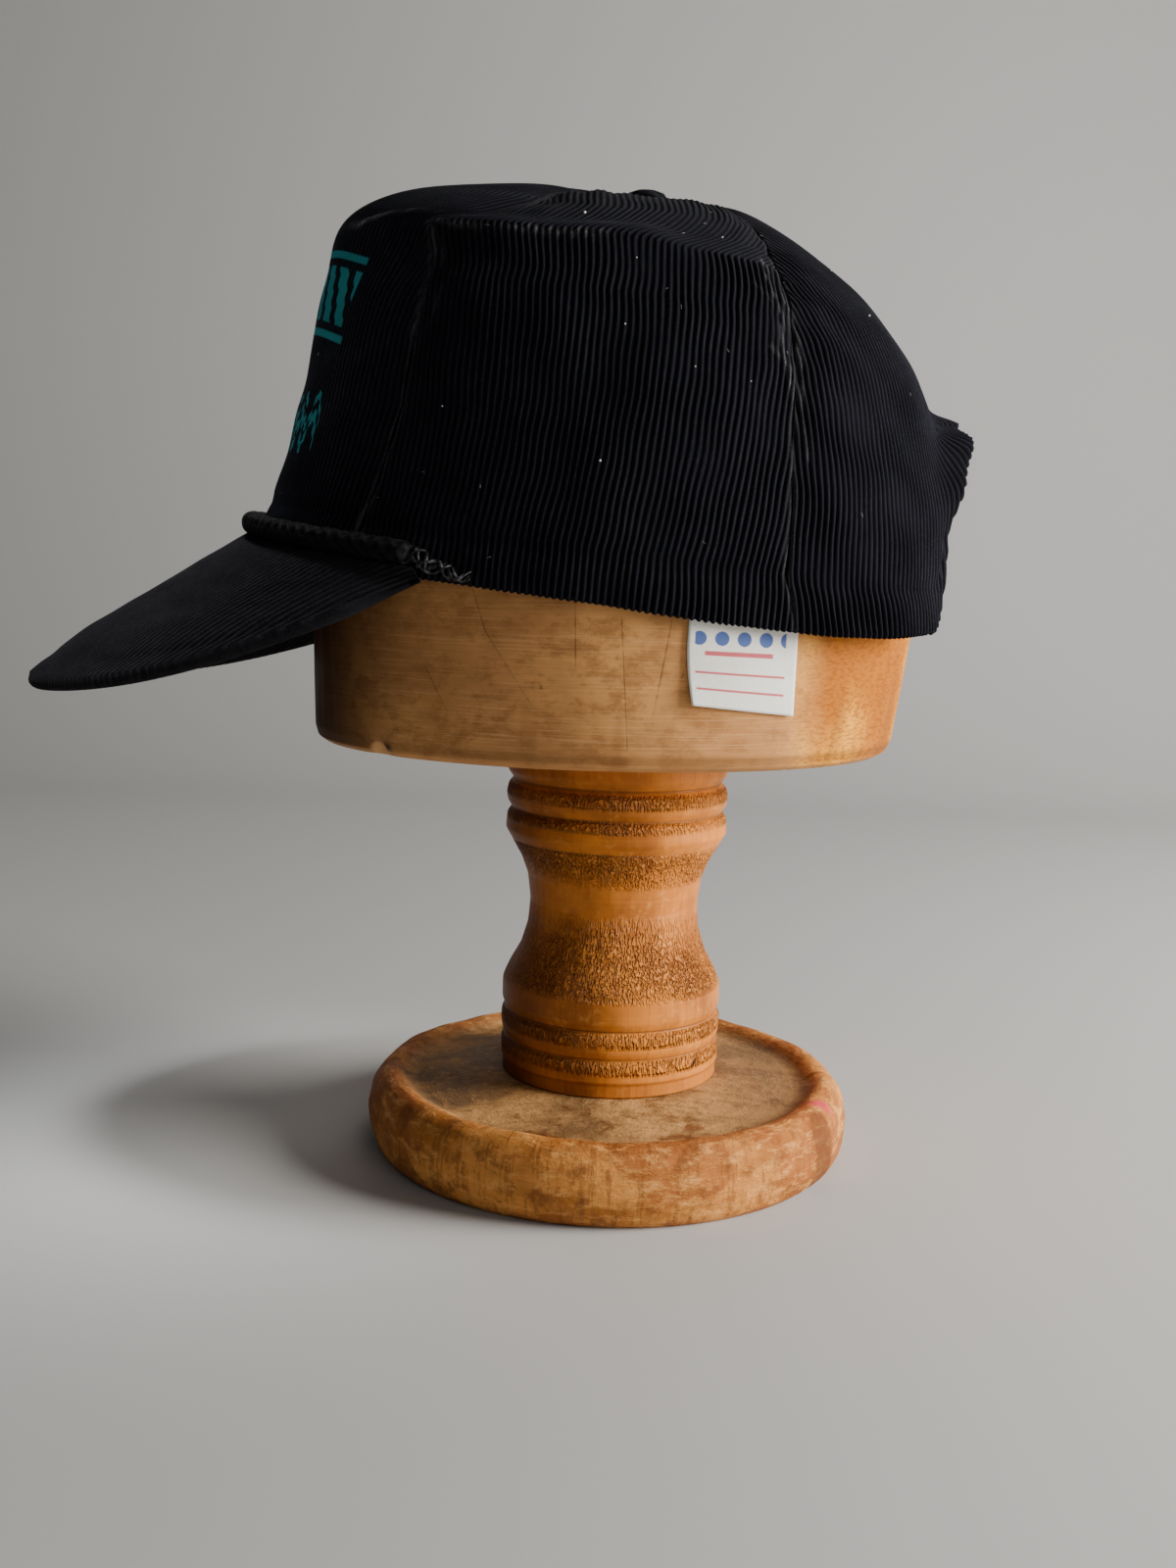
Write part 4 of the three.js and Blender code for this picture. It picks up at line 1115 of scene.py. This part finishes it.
def rope_piece():
    path, out = rope_path(np.linspace(-BRAID["span"], BRAID["span"], 300))
    at, path, out = evenly(path, 0.42, out)
    turn = ring(ROPE_SIDES)[None, :]
    run = (2 * np.pi * at / BRAID["pitch"])[:, None]
    left, right = (np.abs(np.cos((BRAID["lobes"] * turn + lay * run * 2) / 2)) for lay in (1, -1))
    # strand is 1 on a strand's crown and 0 between two; rope_paint paints shade between strands by it.
    strand = np.maximum(left, right) ** 2.0
    rough = 0.14 * waves(at[:, None], turn * 6, 31.0, 0.8)
    radii = ROPE["radius"] - BRAID["depth"] + BRAID["depth"] * 1.15 * strand + rough
    radii = radii * thin_ends(at, 1.5, 0.02)[:, None] ** 0.5
    points, faces = tube(path, radii, ROPE_SIDES, out)
    make_piece("braided_rope", points, faces, rope_paint(), {"strand": strand}, ["front_rope"])


def loose_strands():
    """A few thin shiny strands loop over each other at each end of the rope."""
    parts = []
    for side_sign in (1, -1):
        path, out = rope_path(side_sign * np.linspace(STRAND["from"], STRAND["to"], 120))
        at, path, out = evenly(path, 0.3, out)
        level = unit(np.cross(unit(np.gradient(path, axis=0)), out))
        share = at / at[-1]
        for strand in range(STRAND["count"]):
            phase = 2 * np.pi * (at / (8.5 + strand) + strand / STRAND["count"])
            sway = (2.3 - 0.9 * share) * np.sin(phase) * (1 + 0.2 * np.sin(at * 0.9 + strand))
            lift = 0.9 * np.sin(2 * phase + 0.6 + strand) - 0.2 - 0.5 * share
            line = path + level * sway[:, None] + out * lift[:, None]
            radius = (0.56 - 0.12 * share) * thin_ends(at, 1.6, 0.04)
            twist = 0.14 * np.cos(3 * ring(STRAND["sides"]) + at[:, None] * 2.2)
            parts.append((*tube(line, radius[:, None] * (1 + twist), STRAND["sides"], out), {}))
    points, faces, _ = gather(parts)
    make_piece("rope_end_strands", points, faces, strand_paint())


rope_piece()
loose_strands()

# ---- The button, the strap and the label ----

BUTTON = {"radius": 6.6, "height": 4, "sides": 96, "rings": 26}
BUTTON_PROFILE = {"z": (0, 0.25, 0.72, 0.95, 1), "r": (0.95, 1, 0.8, 0.42, 0.15)}


def button_piece():
    turn, t = ring(BUTTON["sides"]), np.linspace(0, 1, BUTTON["rings"])
    z = np.sin(t * np.pi / 2)
    shut = np.where(t > 0.93, (1 - t) / 0.07 * 0.9 + 0.1, 1)
    r = np.interp(z, BUTTON_PROFILE["z"], BUTTON_PROFILE["r"]) * shut
    r = r[:, None] * BUTTON["radius"]
    x, y = r * np.cos(turn), r * np.sin(turn)
    rib = 1 - (np.abs(y / PITCH - np.round(y / PITCH)) * 2) ** 2.2
    lift, slant = 0.4 * rib - 0.25, r / BUTTON["radius"]
    tall = CROWN_TOP + CLEARANCE + BUTTON["height"] * z[:, None] * 0.97 + lift * (1 - slant**2)
    points = np.stack([AXIS_X + x + lift * slant * np.cos(turn), y + lift * slant * np.sin(turn), tall], -1)
    values = {"rib": rib, "cloth": np.stack([y, x, np.zeros_like(y)], -1), "worn": np.zeros_like(rib)}
    make_piece("button_cloth", points, drum_faces(*rib.shape), cloth_paint, values, ["top_button"])


STRAP = {"from": 147, "thickness": 1.5, "low_level": 0.2, "high_level": 1.25}


def strap_piece():
    """A plain band with rounded edges, just inside the cloth."""
    angle = np.linspace(STRAP["from"], 2 * BACK - STRAP["from"], 97)[:, None]
    corner = ring(24)
    flat = np.sign(np.cos(corner)) * np.abs(np.cos(corner)) ** 0.35
    thick = np.sign(np.sin(corner)) * np.abs(np.sin(corner)) ** 0.7
    middle = (STRAP["low_level"] + STRAP["high_level"]) / 2
    reach = (STRAP["high_level"] - STRAP["low_level"]) / 2
    turn, level = np.broadcast_arrays(np.where(angle > BACK, angle - 2 * BACK, angle), middle + reach * flat)
    _, _, out = crown_frame(turn, level)
    depth = CLOTH + 2 * CLEARANCE + STRAP["thickness"] / 2 * (1 - thick * 0.98)
    points = crown(turn, level) - out * depth[..., None]
    make_piece("strap_band", points, drum_faces(*turn.shape), strap_paint, None, ["snap_strap"])


BLOCK_OVALS = [
    {"z": 125, "front": -88.5, "back": 77.5, "half": 73},
    {"z": 126.2, "front": -90.2, "back": 79.6, "half": 75},
    {"z": 129, "front": -91, "back": 81, "half": 76},
    {"z": 160, "front": -91.2, "back": 85, "half": 79.4},
    {"z": 186, "front": -91, "back": 85.4, "half": 79.8},
    {"z": 194, "front": -88, "back": 82.5, "half": 76.5},
    {"z": 198.5, "front": -80, "back": 75, "half": 69},
    {"z": 200, "front": -66, "back": 61, "half": 56},
]


def block_at(z):
    """The block's middle, half length and half width at a height."""

    def measure(key):
        return np.interp(z, [oval["z"] for oval in BLOCK_OVALS], [oval[key] for oval in BLOCK_OVALS])

    front, back = measure("front"), measure("back")
    return (front + back) / 2, (back - front) / 2, measure("half")


LABEL = {
    "thickness": 0.8, "gap": 1.4 * CLEARANCE, "left": 15.3, "right": 44, "top": 166, "bottom": 141.5,
    "slant": 1.5, "bow": 0.9, "columns": 36,
}


def label_piece():
    """A small tape label with a softly lifted lower corner."""
    count = LABEL["columns"]
    down, share = np.linspace(0, 1, count)[:, None], np.linspace(0, 1, count)[None, :]
    z = LABEL["top"] + (LABEL["bottom"] - LABEL["top"]) * down - LABEL["slant"] * (2 * share - 1) * down
    x = LABEL["left"] + (LABEL["right"] - LABEL["left"]) * share + LABEL["slant"] * down * (1 - share)
    x = x - LABEL["bow"] * np.sin(np.pi * down) * (1 - share) ** 2
    middle, length, half = block_at(z)
    y = -half * np.sqrt(1 - ((x - middle) / length) ** 2)
    away = LABEL["gap"] + 0.9 * (down * (1 - share)) ** 3 + 0.5 * (down * share) ** 4 + 0.25 * down**2
    tape = {"tape": np.stack(np.broadcast_arrays(share, down, 0.0), -1)}
    faces = grid_faces(count, count)
    front, back = (np.stack([x, y - away - depth, z], -1) for depth in (LABEL["thickness"] * 0.75, 0.0))
    points, faces, values = gather([(front, faces, tape), (back, faces[:, ::-1], tape)])
    border = [*range(count), *range(2 * count - 1, count * count, count)]
    border += [*range(count * count - 2, count * (count - 1) - 1, -1), *range(count * (count - 2), 0, -count)]
    under = count * count
    faces += [[a, a + under, b + under, b] for a, b in zip(border, border[1:] + border[:1])]
    piece = make_piece("label_tape", points, faces, label_paint(), values, ["sewn_label"])


strap_paint = Paint("strap", Roughness=0.55, Specular_IOR_Level=0.25).set(Base_Color=(0.007, 0.007, 0.0085))
button_piece()
strap_piece()
label_piece()

# ---- The stand ----

BLOCK_SIDES, POST_SIDES, BASE_SIDES = 560, 270, 372
CHIP = {"x": -65, "z": 126.6, "width": 3.2, "height": 2.2, "depth": 1.8}


def block_piece():
    turn = ring(BLOCK_SIDES)
    heights = (np.linspace(125, 129, 12), np.linspace(130.2, 186, 34), np.linspace(187.2, 200, 11))
    z = np.concatenate(heights)[:, None]
    smooth = 1.2 * np.sin(np.pi * np.clip((z - 129) / 57, 0, 1))
    middle, length, half = block_at(z)
    x = middle + (length + smooth * 0.3) * np.cos(turn)
    y = (half + smooth * 0.1) * np.sin(turn)
    tall = np.broadcast_to(z, x.shape)
    out = unit(np.stack([np.cos(turn) / 85, np.sin(turn) / 78], -1))
    chip = (y < 0) * bell(x - CHIP["x"], CHIP["width"]) * bell(tall - CHIP["z"], CHIP["height"])
    ragged = chip * np.clip(0.7 + 1.1 * waves(x, tall * 1.5, 44.0, 1.1), 0, 1.5)
    push = 0.12 * waves(turn[None, :] * 80, tall, 41.0, 6.0) - CHIP["depth"] * ragged
    points = np.stack([x + out[:, 0] * push, y + out[:, 1] * push, tall], -1)
    # gap is where the chip is dented but not raw, for its painted shadow.
    values = {"raw": ease(ragged, 0.25, 0.6), "gap": ease(chip - ragged, 0.1, 0.4)}
    make_piece("block_wood", points, drum_faces(*tall.shape), block_paint(), values, ["hat_block"])


FLOOR_TOP = 23.5
POST_TOP, POST_FOOT = 124.7, 23.8
POST_PROFILE = {
    "z": (POST_TOP, 120.5, 116.2, 113.7, 111.6, 109.3, 107, 104.9, 102.8, 98.5, 94.7, 90, 84.3, 76.5,
          69, 61.8, 56, 51.5, 45.8, 43.4, 41.4, 37, 35, 33.2, 28, 27.6, POST_FOOT),
    "r": (33.1, 33.6, 33.4, 31.6, 33.2, 33.6, 33.3, 31.9, 33.3, 33.6, 31.4, 28.7, 26.6, 25.6,
          26.1, 28.2, 31.4, 33.4, 33.5, 32.6, 33.6, 33.6, 32.7, 33.6, 33.6, 33, 33),
}
BASE_PROFILE = {
    "r": (69, 71.5, 73.4, 73.8, 72.6, 69.8, 66.7, 64, 61.9, 59.5, 37),
    "z": (0, 2, 7, 12, 18, 21.8, 23.2, 22.6, 20.8, 20, FLOOR_TOP),
}
BASE_STAINS = (
    {"at": 291, "wide": 8, "r": 56.5, "deep": 2.6}, {"at": 253, "wide": 12, "r": 58.5, "deep": 1.8},
    {"at": 328, "wide": 5, "r": 71.5, "deep": 3.5}, {"at": 262, "wide": 3, "r": 66, "deep": 2},
    {"at": 240, "wide": 9, "r": 61, "deep": 1.6}, {"at": 296, "wide": 4, "r": 53, "deep": 2},
)
PINK_STAIN = {"at": 335.3, "wide": 1.7, "r": 68.3, "deep": 2.4, "lean": 0.6, "lowest": 14}
PEN_MARK = {"at": 318, "wide": 1.2, "z": 32, "tall": 1.5, "lean": 1.3}
# Dark lines round the post: their height, how dark and how wide.
POST_LINES = (
    *((z, 1, 0.34) for z in (113.7, 104.9, 43.4, 35.0)), (27.7, 0.25, 0.4), (95.2, 0.3, 0.4),
)
# Bands of torn grain on the post: where each starts, is full, fades and ends.
TORN_BANDS = (
    (108.4, 109.6, 111.6, 112.8), (101.4, 102.6, 103.8, 104.8), (84, 92, 94.4, 95.4),
    (51.5, 54.5, 62, 76), (38.6, 39.6, 41.8, 43), (30.4, 31.6, 33.6, 34.6),
)


def along_profile(profile, step, soft):
    """Points along an outline with its corners rounded, evenly spaced."""
    line = np.stack([profile["r"], profile["z"]], -1).astype(float)
    run = lengths(line)
    at = np.linspace(0, run[-1], int(run[-1] / step) + 1)
    reach = int(3 * soft / step)
    weight = np.exp(-((np.arange(-reach, reach + 1) * step / soft) ** 2) / 2)
    weight /= weight.sum()
    padded = (np.pad(np.interp(at, run, one), reach, mode="reflect", reflect_type="odd") for one in line.T)
    return [np.convolve(one, weight, mode="valid")[:, None] for one in padded]


def post_piece():
    turn = ring(POST_SIDES)
    r, z = along_profile(POST_PROFILE, 0.54, 0.42)
    tall = np.broadcast_to(np.clip(z, POST_FOOT, POST_TOP), (len(z), POST_SIDES))
    around, degrees = turn * 33, np.degrees(turn)
    torn = np.max([np.interp(tall, band, (0, 1, 1, 0)) for band in TORN_BANDS], 0)
    torn = np.clip(torn * (1 + 0.5 * waves(around, tall, 52.0, 2.2)), 0, 1)
    groove = np.clip(sum(dark * bell(tall - at, wide) for at, dark, wide in POST_LINES), 0, 1)
    radius = r + 0.1 * waves(around, tall, 53.0, 3.0) - 0.22 * groove
    radius = radius + 0.10 * torn * waves(around * 3, tall * 1.1, 57.0, 0.9)
    points = np.stack([radius * np.cos(turn), radius * np.sin(turn), tall], -1)
    up = tall - PEN_MARK["z"]
    lean = up * PEN_MARK["lean"]
    mark = bell(degrees - PEN_MARK["at"] - lean, PEN_MARK["wide"]) * bell(up, PEN_MARK["tall"]) * 1.6
    values = {"torn": torn, "groove": groove, "mark": np.clip(mark, 0, 1)}
    faces = [face[::-1] for face in drum_faces(*tall.shape)]
    make_piece("post_wood", points, faces, turned_paint(), values, ["stand_post"])


def base_piece():
    turn = ring(BASE_SIDES)
    r, z = along_profile(BASE_PROFILE, 0.8, 0.8)
    around, degrees, wide, tall = np.broadcast_arrays(turn * 73, np.degrees(turn), r, np.maximum(z, 0))
    worn = ease(tall, 1.0, 6.0)
    push = worn * (0.30 * waves(around, tall * 2, 61.0, 4.0) + 0.16 * waves(around, tall * 2, 66.0, 1.1))
    tall = tall + 0.35 * bell(wide - 66.5, 4.5) * worn * waves(around, wide, 63.0, 1.6)
    radius = wide + push * np.where(wide > 62, 1.0, 0.2)
    points = np.stack([radius * np.cos(turn), radius * np.sin(turn), tall], -1)
    off = wide - PINK_STAIN["r"]
    lean = off * PINK_STAIN["lean"]
    pink = bell(degrees - PINK_STAIN["at"] - lean, PINK_STAIN["wide"]) * bell(off, PINK_STAIN["deep"])
    pink = 1.7 * pink * (tall > PINK_STAIN["lowest"]) * (0.9 + 0.6 * waves(around, tall, 68.0, 0.8))
    stain = np.zeros_like(tall)
    for spot in BASE_STAINS:
        near = bell(degrees - spot["at"], spot["wide"]) * bell(wide - spot["r"], spot["deep"])
        stain = np.maximum(stain, near * (1 + 0.7 * waves(around * 1.2, wide * 2, spot["at"], 0.7)))
    values = {
        "dish": 1 - ease(wide, 60.5, 65.5), "pink": np.clip(pink, 0, 0.95),
        "stain": ease(stain, 0.45, 0.7) * 0.75, "round": np.stack([around, tall, wide], -1),
    }
    make_piece("base_wood", points, drum_faces(*tall.shape), base_paint(), values, ["stand_base"])


block_piece()
post_piece()
base_piece()

# ---- The stage ----

STAGE = {"reach": 3000.0, "wall": 700.0, "corner": 400.0, "steps": 16}


def stage():
    """A pale floor that curves up into a plain backdrop."""
    reach, wall, corner = STAGE["reach"], STAGE["wall"], STAGE["corner"]
    line = [(-reach, 0.0)]
    line += [
        (wall + corner * math.sin(turn), corner * (1 - math.cos(turn)))
        for turn in np.linspace(0, math.pi / 2, STAGE["steps"])
    ]
    line.append((wall + corner, reach))
    points = [(x * MM, y * MM, z * MM) for y, z in line for x in (-reach, reach)]
    faces = [(2 * i, 2 * i + 1, 2 * i + 3, 2 * i + 2) for i in range(len(line) - 1)]
    mesh = bpy.data.meshes.new("floor")
    mesh.from_pydata(points, [], faces)
    mesh.polygons.foreach_set("use_smooth", [True] * len(faces))
    mesh.materials.append(Paint("floor", Roughness=0.85, Base_Color=(0.5, 0.5, 0.495)).material)
    floor = bpy.data.objects.new("floor", mesh)
    bpy.context.scene.collection.objects.link(floor)


def lamp(name, at, size, power, colour=(1, 1, 1), aim=(0, 0, 170), spread=180):
    data = bpy.data.lights.new(name, "AREA")
    data.shape = "DISK"
    data.size = size
    data.energy = power
    data.color = colour
    data.spread = math.radians(spread)
    made = bpy.data.objects.new(name, data)
    made.location = Vector(at) * MM
    made.rotation_euler = (Vector(aim) * MM - made.location).to_track_quat("-Z", "Y").to_euler()
    bpy.context.scene.collection.objects.link(made)


stage()
lamp("window", (1080, -210, 470), 0.7, 36, (1.0, 0.97, 0.92))
lamp("room", (350, -1120, 620), 1.1, 2.3, (0.97, 0.98, 1.0))
lamp("above", (-185, -60, 640), 0.12, 0.06, (0.97, 0.98, 1.0), (-142, -28, 160), 24)
lamp("behind", (300, 1100, 1100), 1.0, 4)

world = bpy.data.worlds.new("room_light")
world.use_nodes = True
background = world.node_tree.nodes["Background"].inputs
background["Color"].default_value = (0.86, 0.88, 0.9, 1)
background["Strength"].default_value = 0.02
bpy.context.scene.world = world

# The camera stands where the photographer's did: about half a metre from the stand, looking slightly down.
CAMERA = {
    "at": (-8.9, -473.0, 177.0), "pitch": 7.88, "roll": 1.66, "lens": 36.0, "sensor": 36.0, "clip": (0.02, 20),
}


def camera():
    data = bpy.data.cameras.new("camera")
    data.lens, data.sensor_width = CAMERA["lens"], CAMERA["sensor"]
    data.clip_start, data.clip_end = CAMERA["clip"]
    made = bpy.data.objects.new("camera", data)
    level = Matrix.Rotation(math.radians(90 - CAMERA["pitch"]), 4, "X")
    rolled = Matrix.Rotation(math.radians(CAMERA["roll"]), 4, "Z")
    made.matrix_world = Matrix.Translation(Vector(CAMERA["at"]) * MM) @ level @ rolled
    bpy.context.scene.collection.objects.link(made)
    bpy.context.scene.camera = made


camera()
